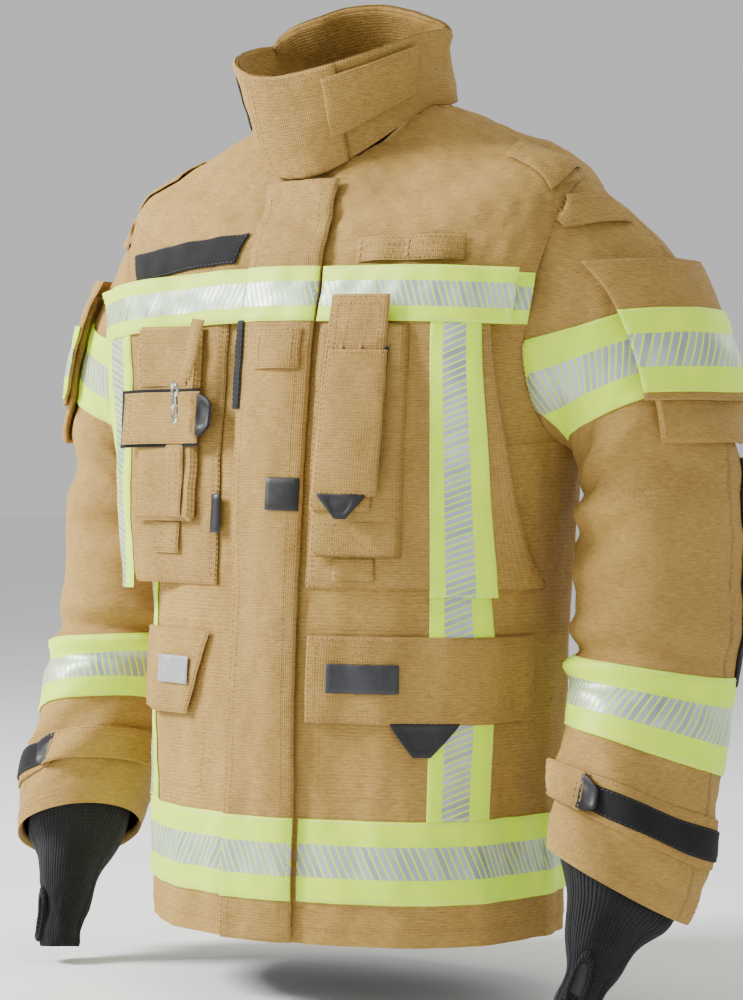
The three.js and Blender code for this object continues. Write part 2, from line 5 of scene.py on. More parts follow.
import bpy
import numpy as np
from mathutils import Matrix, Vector


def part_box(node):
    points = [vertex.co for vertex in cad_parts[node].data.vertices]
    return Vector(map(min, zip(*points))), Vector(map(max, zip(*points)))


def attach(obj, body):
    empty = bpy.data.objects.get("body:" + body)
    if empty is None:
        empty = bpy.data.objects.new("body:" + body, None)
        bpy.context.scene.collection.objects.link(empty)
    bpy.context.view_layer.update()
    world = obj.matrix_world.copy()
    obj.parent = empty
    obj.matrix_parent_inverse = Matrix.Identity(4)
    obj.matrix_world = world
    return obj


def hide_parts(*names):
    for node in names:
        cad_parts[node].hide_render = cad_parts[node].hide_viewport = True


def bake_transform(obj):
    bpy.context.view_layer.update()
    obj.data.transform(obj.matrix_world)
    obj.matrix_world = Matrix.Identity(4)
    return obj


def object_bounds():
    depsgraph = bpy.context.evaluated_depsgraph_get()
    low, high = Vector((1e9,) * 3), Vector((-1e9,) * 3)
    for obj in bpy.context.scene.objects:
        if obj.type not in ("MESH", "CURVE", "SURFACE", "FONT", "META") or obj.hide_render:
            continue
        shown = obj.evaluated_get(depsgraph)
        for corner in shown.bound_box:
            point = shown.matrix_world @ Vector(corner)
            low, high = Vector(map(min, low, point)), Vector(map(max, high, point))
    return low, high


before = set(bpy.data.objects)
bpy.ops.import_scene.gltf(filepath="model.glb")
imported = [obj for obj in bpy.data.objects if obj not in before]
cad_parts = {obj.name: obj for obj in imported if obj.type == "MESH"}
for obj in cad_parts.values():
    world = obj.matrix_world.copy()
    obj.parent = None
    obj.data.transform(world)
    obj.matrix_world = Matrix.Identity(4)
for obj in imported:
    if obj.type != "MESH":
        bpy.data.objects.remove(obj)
cad_box = [list(corner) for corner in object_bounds()]

# ---- The garment's surfaces -------------------------------------------------------------------------

HEM_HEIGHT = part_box("back")[0][2]
MIDDLE_DEPTH = -0.040  # the coat's middle plane lies this far in front of the hanger loop
MM = 0.001
QUARTER = math.pi / 2
FULL_TURN = 2 * math.pi

# Rings of the body from hem to neck: heights at the side, front and back, half width, depths.
BODY = {
    "side": [0, 140, 280, 440, 580, 690, 736, 768],
    "front": [0, 140, 280, 430, 545, 622, 662, 700],
    "back": [0, 140, 280, 440, 580, 680, 742, 785],
    "width": [206, 203, 207, 228, 254, 256, 170, 89],
    "chest": [160, 154, 148, 137, 124, 110, 93, 80],
    "spine": [150, 148, 150, 158, 160, 140, 108, 76],
}
COLLAR = {
    "side": [770, 806, 840],
    "front": [702, 745, 794],
    "back": [787, 828, 868],
    "width": [89, 96, 105],
    "chest": [80, 98, 117],
    "spine": [76, 42, -3],
}
# Rings of the left sleeve: outer and inner edge points, the middle's depth, half depth, front edge lift.
SLEEVE = {
    "outer_x": [258, 314, 354, 374, 388, 392, 391, 391, 386, 352, 339],
    "outer_z": [692, 636, 556, 468, 380, 284, 194, 110, 44, -8, -52],
    "inner_x": [233, 246, 249, 246, 242, 244, 250, 259, 264, 284, 280],
    "inner_z": [452, 436, 412, 388, 350, 292, 220, 152, 98, 6, -44],
    "y": [20, 38, 44, 44, 42, 34, 12, -17, -40, -68, -90],
    "deep": [80, 80, 80, 79, 77, 75, 72, 69, 65, 38, 31],
    "lift": [0, 0, 0, 0, 0, 0, 14, 20, 22, 12, 8],
}
NECK_LEVEL = 7.0
COLLAR_TOP = 2.0
ARMPIT = 3.1
SHOULDER = 5.02
ARMHOLE_ANGLE = 1.68
ARMHOLE_SPREAD = 0.56
CUFF = 8.1
WRISTLET_END = 10.0


def smooth_read(table, key, position):
    """The smooth value between a table's entries, in metres, at fractional positions."""
    values = np.asarray(table[key], float) * MM
    last = len(values) - 1
    start = np.clip(np.floor(position).astype(int), 0, last - 1)
    part = position - start
    before = values[np.clip(start - 1, 0, last)]
    here = values[start]
    after = values[start + 1]
    beyond = values[np.clip(start + 2, 0, last)]
    slope_here = (after - before) / 2
    slope_after = (beyond - here) / 2
    square = part * part
    cube = square * part
    blended = here * (2 * cube - 3 * square + 1) + slope_here * (cube - 2 * square + part)
    return blended + after * (3 * square - 2 * cube) + slope_after * (cube - square)


def smoothstep(low, high, value):
    share = np.clip((value - low) / (high - low), 0, 1)
    return share * share * (3 - 2 * share)


def bump(value, middle, half):
    """A smooth hill of height 1 round middle."""
    return smoothstep(0, 1, 1 - np.abs(value - middle) / half)


def ring_point(table, angle, level):
    sideways = np.sin(angle)
    forward = np.cos(angle)
    squareness = 2.25
    reach = (np.abs(sideways) ** squareness + np.abs(forward) ** squareness) ** (-1 / squareness)
    depth = np.where(forward > 0, smooth_read(table, "chest", level), smooth_read(table, "spine", level))
    side = smooth_read(table, "side", level)
    end = np.where(forward > 0, smooth_read(table, "front", level), smooth_read(table, "back", level))
    x = smooth_read(table, "width", level) * reach * sideways
    z = side + (end - side) * np.abs(forward) ** 1.6
    return np.stack([x, MIDDLE_DEPTH - depth * reach * forward, HEM_HEIGHT + z], axis=-1)


def body_surface(angle, level):
    return ring_point(BODY, angle, level)


def collar_surface(angle, level):
    return ring_point(COLLAR, angle, level)


def armhole_point(turn):
    middle = (ARMPIT + SHOULDER) / 2
    half = (SHOULDER - ARMPIT) / 2
    return body_surface(ARMHOLE_ANGLE - ARMHOLE_SPREAD * np.sin(turn), middle + half * np.cos(turn))


def sleeve_middle(ring):
    read = lambda key: smooth_read(SLEEVE, key, ring)
    x = (read("outer_x") + read("inner_x")) / 2
    z = (read("outer_z") + read("inner_z")) / 2
    return np.stack([x, MIDDLE_DEPTH + read("y"), HEM_HEIGHT + z], axis=-1)


def sleeve_surface(turn, ring):
    """Point on the left sleeve; turn is 0 at the outer side and a quarter turn at the front."""
    read = lambda key: smooth_read(SLEEVE, key, ring)
    half_x = (read("outer_x") - read("inner_x")) / 2
    half_z = (read("outer_z") - read("inner_z")) / 2
    rise = half_z * np.cos(turn) + read("lift") * np.sin(turn)
    offset = np.stack([half_x * np.cos(turn), -read("deep") * np.sin(turn), rise], axis=-1)
    blend = smoothstep(0, 1.2, ring)[..., None]
    return armhole_point(turn) * (1 - blend) + (sleeve_middle(ring) + offset) * blend


def body_middle(level):
    height = smooth_read(BODY, "side", np.minimum(level, 5)) - 0.04
    zero = np.zeros_like(height)
    return np.stack([zero, zero + MIDDLE_DEPTH, HEM_HEIGHT + height], axis=-1)


def collar_middle(level):
    height = smooth_read(COLLAR, "side", level) - 0.025
    zero = np.zeros_like(height)
    return np.stack([zero, zero + MIDDLE_DEPTH - 0.02, HEM_HEIGHT + height], axis=-1)


def raised(surface, middle, u, v, height):
    """Surface points moved along their outward normals."""
    step = 0.01
    point = surface(u, v)
    across = surface(u + step, v) - surface(u - step, v)
    along = surface(u, v + step) - surface(u, v - step)
    normal = np.cross(across, along)
    normal /= np.linalg.norm(normal, axis=-1, keepdims=True) + 1e-12
    outward = np.sum(normal * (point - middle(v)), axis=-1, keepdims=True)
    return point + np.where(outward < 0, -1, 1) * normal * np.asarray(height)[..., None]


# ---- Folds ------------------------------------------------------------------------------------------

def ripple(a, b, seed):
    """Soft uneven waves from a few sines whose directions depend on the seed."""
    total = 0
    for index in range(5):
        turn = seed * 1.7 + index * 2.4
        speed = 1 + 0.37 * index
        total = total + np.sin(speed * (a * math.cos(turn) + b * math.sin(turn)) + turn * 3.1) / (1 + 0.5 * index)
    return total / 2.6


def half_turned(angle):
    """The angle brought between minus and plus half a turn, and a factor that calms folds near the join."""
    turned = (angle + math.pi) % FULL_TURN - math.pi
    return turned, smoothstep(0, 0.45, math.pi - np.abs(turned))


def body_folds(angle, level):
    """How far the body's cloth stands off its smooth shape, in metres."""
    turned, calm = half_turned(angle)
    lower = 1 - smoothstep(1.2, 4.0, level)
    hanging = 0.0052 * lower * ripple(turned * 11, level * 1.1, 1.3)
    broad = 0.0040 * ripple(turned * 6, level * 2.4, 4.1)
    fine = 0.0011 * ripple(turned * 34, level * 13, 2.2)
    near_arm = bump(np.abs(turned), 1.15, 0.55) * bump(level, 3.7, 1.3)
    drag = 0.0058 * near_arm * np.sin(9 * np.abs(turned) + 5.2 * level + 0.6 * np.sign(turned))
    yoke = 0.0040 * bump(level, 5.7, 1.0) * ripple(turned * 9, level * 5, 7.7)
    return (hanging + broad + fine + drag + yoke) * calm


def sleeve_folds(turn, ring):
    turned, calm = half_turned(turn)
    fine = 0.0010 * ripple(turned * 9, ring * 15, 3.3)
    broad = 0.0040 * ripple(turned * 2.2, ring * 2.6, 5.9)
    inner = 0.55 + 0.45 * np.cos(turn - 2.2)
    uneven = 1.6 * np.sin(turn + 0.7) + 1.3 * np.sin(2.1 * ring + 0.4)
    elbow = 0.0066 * bump(ring, 5.0, 1.5) * inner * np.sin(10.5 * ring + uneven) * (0.7 + 0.5 * np.sin(3.7 * ring))
    upper = 0.0054 * bump(ring, 3.2, 1.6) * np.sin(6.4 * ring + 2.6 * turned) * (0.4 + 0.6 * inner)
    cuff = 0.0036 * bump(ring, 7.0, 1.0) * np.sin(5 * turn + 4 * ring)
    ends = smoothstep(0.0, 0.5, ring) * (1 - 0.6 * smoothstep(7.6, 8.1, ring))
    return ((fine + broad + upper) * calm + elbow + cuff) * ends


def on_body(angle, level, height):
    return raised(body_surface, body_middle, angle, level, height + body_folds(angle, level))


def on_collar(angle, level, height):
    turned, calm = half_turned(angle)
    wave = 0.0040 * ripple(turned * 4.5, level * 1.6, 6.1) + 0.0008 * ripple(turned * 20, level * 9, 2.9)
    return raised(collar_surface, collar_middle, angle, level, height + wave * calm)


def on_sleeve(turn, ring, height):
    return raised(sleeve_surface, sleeve_middle, turn, ring, height + sleeve_folds(turn, ring))


def search(low, high, above, passes=26):
    """Halves the interval between two arrays; above says where the answer lies higher."""
    for _ in range(passes):
        middle = (low + high) / 2
        up = above(middle)
        low = np.where(up, middle, low)
        high = np.where(up, high, middle)
    return (low + high) / 2


def body_level_at(angle, z):
    zero = np.zeros(np.broadcast(angle, z).shape)
    return search(zero, zero + NECK_LEVEL, lambda level: body_surface(angle, level)[..., 2] - HEM_HEIGHT < z)


def sleeve_ring_at(turn, z):
    zero = np.zeros(np.broadcast(turn, z).shape)
    return search(zero, zero + WRISTLET_END, lambda ring: sleeve_surface(turn, ring)[..., 2] - HEM_HEIGHT > z)


def front_spot(x, z):
    """Angle and level of the front points with the given sideways places and heights."""
    step = 0.01
    angle = np.arcsin(np.clip(x / 0.25, -0.95, 0.95))
    level = z / 0.14
    for _ in range(18):
        here = body_surface(angle, level)
        by_angle = (body_surface(angle + step, level) - here) / step
        by_level = (body_surface(angle, level + step) - here) / step
        miss_x = x - here[..., 0]
        miss_z = z + HEM_HEIGHT - here[..., 2]
        scale = by_angle[..., 0] * by_level[..., 2] - by_angle[..., 2] * by_level[..., 0]
        angle = angle + (miss_x * by_level[..., 2] - miss_z * by_level[..., 0]) / scale
        level = level + (miss_z * by_angle[..., 0] - miss_x * by_angle[..., 2]) / scale
        angle = np.clip(angle, -1.5, 1.5)
        level = np.clip(level, 0, NECK_LEVEL)
    return angle, level

# ---- Mesh builders ----------------------------------------------------------------------------------

def make_object(name, points, faces, material, body, uv=None):
    mesh = bpy.data.meshes.new(name)
    mesh.from_pydata([tuple(point) for point in points], [], faces)
    mesh.polygons.foreach_set("use_smooth", [True] * len(mesh.polygons))
    if uv is not None:
        layer = mesh.uv_layers.new(name="UVMap")
        corners = np.empty(len(mesh.loops), dtype=np.int32)
        mesh.loops.foreach_get("vertex_index", corners)
        layer.data.foreach_set("uv", uv[corners].astype(np.float32).ravel())
    mesh.materials.append(material)
    mesh.update()
    piece = bpy.data.objects.new(name, mesh)
    bpy.context.scene.collection.objects.link(piece)
    if body:
        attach(piece, body)
    return piece


def grid_faces(columns, rows, start=0, flip=False, wraps=False):
    """Quads of a grid whose vertices run column by column within each row."""
    faces = []
    wide = columns if wraps else columns - 1
    for row in range(rows - 1):
        for column in range(wide):
            after = (column + 1) % columns
            a = start + row * columns + column
            b = start + row * columns + after
            c = start + (row + 1) * columns + after
            d = start + (row + 1) * columns + column
            faces.append((d, c, b, a) if flip else (a, b, c, d))
    return faces


def edge_round(s, t, width, length, radius):
    """1 inside a patch, falling in a quarter round to 0 at its edges."""
    gap_s = np.minimum(s, 1 - s) * width
    gap_t = np.minimum(t, 1 - t) * length
    gap = np.clip(np.minimum(gap_s, gap_t) / radius, 0, 1)
    return np.sqrt(np.clip(1 - (1 - gap) ** 2, 0, 1))


def spaced(count, rim):
    """Even spacing from 0 to 1 with one extra line close to each end."""
    inside = np.linspace(0, 1, count)
    return np.concatenate([[0, rim], inside[1:-1], [1 - rim, 1]])


def dressed(piece, cad):
    """Hides the CAD nodes that a piece stands for, and gives back the piece."""
    if cad:
        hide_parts(*cad)
    return piece


def slab(name, place, size, thickness, material, body, base=0.0, step=0.005, mirror=1, rim=0.0012, cad=()):
    """A closed cloth piece: a patch of a surface between base and base + thickness, with round edges.
    place(s, t, height) gives points, and size is (width, length)."""
    width, length = size
    s_line = spaced(max(3, round(width / step)), min(0.3, rim / width))
    t_line = spaced(max(3, round(length / step)), min(0.3, rim / length))
    s, t = np.meshgrid(s_line, t_line)
    crown = edge_round(s, t, width, length, rim * 1.6)
    top = place(s, t, base + thickness * (0.45 + 0.55 * crown)).reshape(-1, 3)
    under = place(s, t, base + thickness * (0.45 - 0.45 * crown)).reshape(-1, 3)
    points = np.concatenate([top, under])
    points[:, 0] *= mirror
    wide = len(s_line)
    high = len(t_line)
    across = top[wide * (high // 2) + 1] - top[wide * (high // 2)]
    along = top[wide * (high // 2 + 1)] - top[wide * (high // 2)]
    out = top[wide * (high // 2) + wide // 2] - under[wide * (high // 2) + wide // 2]
    flip = (np.dot(np.cross(across, along), out) < 0) != (mirror < 0)
    faces = grid_faces(wide, high, 0, flip)
    faces += grid_faces(wide, high, wide * high, not flip)
    border = list(range(wide))
    border += [row * wide + wide - 1 for row in range(1, high)]
    border += [(high - 1) * wide + column for column in range(wide - 2, -1, -1)]
    border += [row * wide for row in range(high - 2, 0, -1)]
    for here, after in zip(border, border[1:] + border[:1]):
        low_here = here + wide * high
        low_after = after + wide * high
        faces.append((after, low_after, low_here, here) if flip else (here, low_here, low_after, after))
    uv = np.stack([s * width, t * length], axis=-1).reshape(-1, 2)
    piece = make_object(name, points, faces, MATERIALS[material], body, np.concatenate([uv, uv]))
    return dressed(piece, cad)


def shell(name, place, size, material, body, step=0.006, mirror=1, wraps=False, rows_at=None, cad=(), slot=None):
    """One layer of cloth; an outside face only, for surfaces with a lining behind them."""
    width, length = size
    columns = max(8, round(width / step))
    t_line = np.linspace(0, 1, max(4, round(length / step))) if rows_at is None else rows_at
    s, t = np.meshgrid(np.linspace(0, 1, columns, endpoint=not wraps), t_line)
    points = place(s, t, 0 * s).reshape(-1, 3)
    inner = place(s, t, 0 * s - 0.002).reshape(-1, 3)
    middle = len(t_line) // 2 * columns + columns // 2
    across = points[middle + 1] - points[middle]
    along = points[middle + columns] - points[middle]
    backwards = np.dot(np.cross(across, along), points[middle] - inner[middle]) < 0
    points[:, 0] *= mirror
    faces = grid_faces(columns, len(t_line), 0, backwards != (mirror < 0), wraps)
    uv = np.stack([s * width, t * length], axis=-1).reshape(-1, 2)
    piece = make_object(name, points, faces, MATERIALS[material], body, uv)
    return dressed(piece, cad)


def shifted(place, rise):
    return lambda s, t, h: place(s, t, h + rise)


def chest_lift(x):
    """How far the chest pockets' outer edges stand off the coat; the right one is fuller."""
    amount = np.where(x < 0, 0.025, 0.010)
    return amount * smoothstep(0.095, 0.190, np.abs(x))


def front_place(corners, lifted=False):
    """Places on the front by [x, z] corners in millimetres: bottom left, bottom right, top right, top left."""
    (x0, z0), (x1, z1), (x2, z2), (x3, z3) = [(x * MM, z * MM) for x, z in corners]

    def place(s, t, height):
        x = (x0 + (x1 - x0) * s) * (1 - t) + (x3 + (x2 - x3) * s) * t
        z = (z0 + (z1 - z0) * s) * (1 - t) + (z3 + (z2 - z3) * s) * t
        angle, level = front_spot(x, z)
        return on_body(angle, level, height + (chest_lift(x) if lifted else 0))

    return place


def body_place(angles, heights):
    """Places on the body between two angles in radians and two heights in millimetres."""
    def place(s, t, height):
        angle = angles[0] + (angles[1] - angles[0]) * s
        z = (heights[0] + (heights[1] - heights[0]) * t) * MM
        return on_body(angle, body_level_at(angle, z), height)

    return place


def sleeve_place(turns, heights, tilt=0.0):
    """Places on a sleeve between two turns in radians and two heights in millimetres."""
    def place(s, t, height):
        turn = turns[0] + (turns[1] - turns[0]) * s
        z = (heights[0] + (heights[1] - heights[0]) * t + tilt * np.cos(turn)) * MM
        return on_sleeve(turn, sleeve_ring_at(turn, z), height)

    return place


def measured(place, steps=24):
    """The width and length of a patch along its middle lines, in metres."""
    line = np.linspace(0, 1, steps)
    half = np.full(steps, 0.5)
    return run_length(place(line, half, 0 * line)), run_length(place(half, line, 0 * line))


# ---- Stitching --------------------------------------------------------------------------------------

stitch_store = {}
STITCH_PITCH = 0.0048
STITCH_LENGTH = 0.0034
STITCH_WIDTH = 0.0009


def stitch(place, path, height, body, mirror=1, material="thread", width=STITCH_WIDTH):
    """A row of stitches along a path of (s, t) points on a patch."""
    path = np.asarray(path, float)
    fine = []
    for start, end in zip(path[:-1], path[1:]):
        share = np.linspace(0, 1, 60, endpoint=False)[:, None]
        fine.append(start + (end - start) * share)
    fine = np.concatenate(fine + [path[-1:]])
    line = place(fine[:, 0], fine[:, 1], height + 0 * fine[:, 0])
    above = place(fine[:, 0], fine[:, 1], height + 0.001 + 0 * fine[:, 0])
    run = np.concatenate([[0], np.cumsum(np.linalg.norm(np.diff(line, axis=0), axis=1))])
    count = int(run[-1] / STITCH_PITCH)
    if count < 1:
        return
    starts = (np.arange(count) + 0.5) * run[-1] / count - STITCH_LENGTH / 2
    pick = lambda values, at: np.stack([np.interp(at, run, values[:, axis]) for axis in range(3)], axis=-1)
    first = pick(line, starts)
    last = pick(line, starts + STITCH_LENGTH)
    up = pick(above, starts) - first
    up /= np.linalg.norm(up, axis=1, keepdims=True) + 1e-12
    ahead = last - first
    ahead /= np.linalg.norm(ahead, axis=1, keepdims=True) + 1e-12
    sideways = np.cross(ahead, up)
    middle = (first + last) / 2 + up * 0.0004
    half = sideways * width / 2
    point = half * 0.5
    corners = [first - point, first + point, middle + half, last + point, last - point, middle - half]
    top = middle + up * 0.00035
    store = stitch_store.setdefault((body, material), [[], []])
    base = sum(len(chunk) for chunk in store[0])
    block = np.stack(corners + [top], axis=1)
    block[..., 0] *= mirror
    store[0].append(block.reshape(-1, 3))
    rim = len(corners)
    for index in range(count):
        at = base + index * (rim + 1)
        for corner in range(rim):
            a = at + corner
            b = at + (corner + 1) % rim
            store[1].append((a, b, at + rim) if mirror > 0 else (b, a, at + rim))


def inset_path(size, gap, sides="blrt"):
    """A path inside a patch's edges: b, l, r and t name the sides it follows, joined in order."""
    width, length = size
    u = gap / width
    v = gap / length
    runs = {
        "b": [(u, v), (1 - u, v)],
        "r": [(1 - u, v), (1 - u, 1 - v)],
        "t": [(1 - u, 1 - v), (u, 1 - v)],
        "l": [(u, 1 - v), (u, v)],
    }
    return [runs[side] for side in "brtl" if side in sides]


def topstitch(place, size, height, body, gaps=(0.0025, 0.0085), sides="blrt", mirror=1, material="thread"):
    for gap in gaps:
        for path in inset_path(size, gap, sides):
            stitch(place, path, height, body, mirror, material)


def bar_tack(place, size, s, t, length, height, body, mirror=1, upright=False):
    """A short dense bar of thread."""
    width, high = size
    rows = 4
    for row in range(rows):
        shift = (row - rows / 2 + 0.5) * 0.0008
        if upright:
            path = [(s + shift / width, t - length / 2 / high), (s + shift / width, t + length / 2 / high)]
        else:
            path = [(s - length / 2 / width, t + shift / high), (s + length / 2 / width, t + shift / high)]
        stitch(place, path, height, body, mirror, "tack", 0.0012)


def finish_stitches():
    for (body, material), (blocks, faces) in stitch_store.items():
        make_object(f"{material}_on_{body}", np.concatenate(blocks), faces, MATERIALS[material], body)

# ---- Materials --------------------------------------------------------------------------------------

class Nodes:
    """Short calls for building one material's node tree."""

    def __init__(self, name, rough, metal=0.0, sheen=0.0, coat=0.0):
        self.material = bpy.data.materials.new(name)
        self.material.use_nodes = True
        self.tree = self.material.node_tree
        self.shader = self.tree.nodes["Principled BSDF"]
        self.shader.inputs["Roughness"].default_value = rough
        self.shader.inputs["Metallic"].default_value = metal
        self.shader.inputs["Sheen Weight"].default_value = sheen
        self.shader.inputs["Coat Weight"].default_value = coat

    def add(self, kind, **inputs):
        node = self.tree.nodes.new(kind)
        for key, value in inputs.items():
            self.feed(node, key, value)
        return node

    def feed(self, node, key, value):
        socket = node.inputs[int(key[1:])] if key[0] == "i" and key[1:].isdigit() else node.inputs[key]
        if isinstance(value, bpy.types.NodeSocket):
            self.tree.links.new(value, socket)
        else:
            socket.default_value = value

    def math(self, operation, a, b=0.0):
        node = self.tree.nodes.new("ShaderNodeMath")
        node.operation = operation
        self.feed(node, "i0", a)
        self.feed(node, "i1", b)
        return node.outputs[0]

    def noise(self, scale, detail=3.0, coordinates=None, stretch=None):
        vector = coordinates or self.place()
        if stretch:
            vector = self.add("ShaderNodeMapping", Vector=vector, Scale=stretch).outputs["Vector"]
        node = self.add("ShaderNodeTexNoise", Vector=vector, Scale=scale, Detail=detail)
        return node.outputs["Fac"]

    def place(self):
        return self.add("ShaderNodeTexCoord").outputs["Object"]

    def uv(self):
        split = self.add("ShaderNodeSeparateXYZ", Vector=self.add("ShaderNodeTexCoord").outputs["UV"])
        return split.outputs["X"], split.outputs["Y"]

    def mix(self, share, a, b):
        node = self.tree.nodes.new("ShaderNodeMix")
        node.data_type = "RGBA"
        self.feed(node, "i0", share)
        self.feed(node, "i6", a if isinstance(a, bpy.types.NodeSocket) else (*a, 1))
        self.feed(node, "i7", b if isinstance(b, bpy.types.NodeSocket) else (*b, 1))
        return node.outputs[2]

    def ramp(self, value, low, high):
        node = self.add("ShaderNodeMapRange", Value=value)
        node.inputs["From Min"].default_value = low
        node.inputs["From Max"].default_value = high
        return node.outputs["Result"]

    def colour(self, value):
        self.feed(self.shader, "Base Color", value)

    def raise_by(self, height, distance, strength=1.0):
        node = self.add("ShaderNodeBump", Height=height, Distance=distance, Strength=strength)
        self.feed(self.shader, "Normal", node.outputs["Normal"])


def weave_material(name, light, dark, across=0.0019, along=0.0019, rough=0.82, depth=0.0005):
    """Plain woven cloth: two crossing yarn directions, uneven dye, and painted shade that darkens the colour in the
    hollows between the yarns.
    """
    nodes = Nodes(name, rough, sheen=0.05)
    nodes.shader.inputs["Sheen Roughness"].default_value = 0.6
    nodes.shader.inputs["Sheen Tint"].default_value = (*light, 1)
    u, v = nodes.uv()
    wobble = nodes.math("MULTIPLY", nodes.noise(140, 2), 0.9)
    warp = nodes.math("SINE", nodes.math("ADD", nodes.math("MULTIPLY", u, FULL_TURN / across), wobble))
    weft = nodes.math("SINE", nodes.math("ADD", nodes.math("MULTIPLY", v, FULL_TURN / along), wobble))
    yarn = nodes.math("MULTIPLY", nodes.math("ADD", warp, weft), 0.22)
    slub = nodes.noise(420, 3, stretch=(0.35, 0.35, 1.6))
    blotch = nodes.noise(13, 4)
    total = nodes.math("ADD", nodes.math("MULTIPLY", yarn, 0.34), nodes.math("MULTIPLY", slub, 1.15))
    total = nodes.math("ADD", total, nodes.math("MULTIPLY", blotch, 0.5))
    # Painted shade: the yarn term makes the colour darker in the weave's hollows and lighter on the yarn tops.
    nodes.colour(nodes.mix(nodes.ramp(total, 0.45, 1.2), dark, light))
    nodes.raise_by(nodes.math("ADD", yarn, nodes.math("MULTIPLY", slub, 0.9)), depth, 0.8)
    return nodes.material


def trim_material(name, width, silver, pitch):
    """Fluorescent strip with a silver band of slanted segments; v runs across the strip."""
    nodes = Nodes(name, 0.5, sheen=0.1)
    u, v = nodes.uv()
    from_middle = nodes.math("SUBTRACT", v, width / 2)
    in_band = nodes.math("LESS_THAN", nodes.math("ABSOLUTE", from_middle), silver / 2)
    slanted = nodes.math("ADD", u, nodes.math("MULTIPLY", from_middle, 0.42))
    step = nodes.math("FRACT", nodes.math("MULTIPLY", slanted, 1 / pitch))
    in_segment = nodes.math("LESS_THAN", step, 0.76)
    mask = nodes.math("MULTIPLY", in_band, in_segment)
    yarn = nodes.math("SINE", nodes.math("MULTIPLY", nodes.math("ADD", u, v), FULL_TURN / 0.0016))
    glow = nodes.mix(nodes.ramp(nodes.noise(30, 3), 0.3, 0.7), (0.58, 0.86, 0.006), (0.72, 0.97, 0.010))
    cell = nodes.math("FLOOR", nodes.math("MULTIPLY", slanted, 1 / pitch))
    shade = nodes.math("FRACT", nodes.math("MULTIPLY", nodes.math("SINE", nodes.math("MULTIPLY", cell, 12.9)), 43.7))
    uneven = nodes.math("ADD", nodes.math("MULTIPLY", shade, 0.22), nodes.math("MULTIPLY", nodes.noise(16, 3), 0.9))
    beads = nodes.mix(nodes.ramp(uneven, 0.25, 0.85), (0.26, 0.33, 0.35), (0.62, 0.69, 0.70))
    nodes.colour(nodes.mix(mask, glow, beads))
    nodes.feed(nodes.shader, "Roughness", nodes.math("SUBTRACT", 0.56, nodes.math("MULTIPLY", mask, 0.2)))
    nodes.feed(nodes.shader, "Metallic", nodes.math("MULTIPLY", mask, 0.35))
    height = nodes.math("ADD", nodes.math("MULTIPLY", yarn, 0.12), nodes.math("MULTIPLY", mask, 0.8))
    nodes.raise_by(height, 0.0003, 0.7)
    # Painted glow: a small even emission on the fluorescent parts, outside the silver band, stands in for the dye's
    # fluorescence.
    nodes.feed(nodes.shader, "Emission Color", nodes.mix(mask, (0.42, 0.80, 0.0), (0.0, 0.0, 0.0)))
    nodes.shader.inputs["Emission Strength"].default_value = 0.26
    return nodes.material


def fuzzy_material(name, dark, light, scale=900):
    nodes = Nodes(name, 0.95, sheen=0.03)
    hairs = nodes.noise(scale, 4)
    nodes.colour(nodes.mix(nodes.ramp(hairs, 0.35, 0.72), dark, light))
    nodes.raise_by(hairs, 0.0012, 1.0)
    return nodes.material


def knit_material(name, dark, light, rib=0.0034):
    nodes = Nodes(name, 0.9, sheen=0.02)
    u, v = nodes.uv()
    ribs = nodes.math("ABSOLUTE", nodes.math("SINE", nodes.math("MULTIPLY", u, math.pi / rib)))
    loops = nodes.math("SINE", nodes.math("MULTIPLY", v, FULL_TURN / 0.0022))
    height = nodes.math("ADD", ribs, nodes.math("MULTIPLY", loops, 0.18))
    # Painted shade: the colour is darker in the grooves between the ribs and lighter on their crests.
    nodes.colour(nodes.mix(nodes.math("MULTIPLY", ribs, nodes.noise(300, 3)), dark, light))
    nodes.raise_by(height, 0.0011, 1.0)
    return nodes.material


def plain_material(name, dark, light, rough, metal=0.0, scale=220, depth=0.0002, coat=0.0):
    """A moulded or metal surface with fine unevenness in its colour and gloss."""
    nodes = Nodes(name, rough, metal, coat=coat)
    grain = nodes.noise(scale, 4)
    nodes.colour(nodes.mix(nodes.ramp(grain, 0.3, 0.7), dark, light))
    nodes.feed(nodes.shader, "Roughness", nodes.math("ADD", rough - 0.08, nodes.math("MULTIPLY", grain, 0.16)))
    nodes.raise_by(grain, depth, 0.6)
    return nodes.material


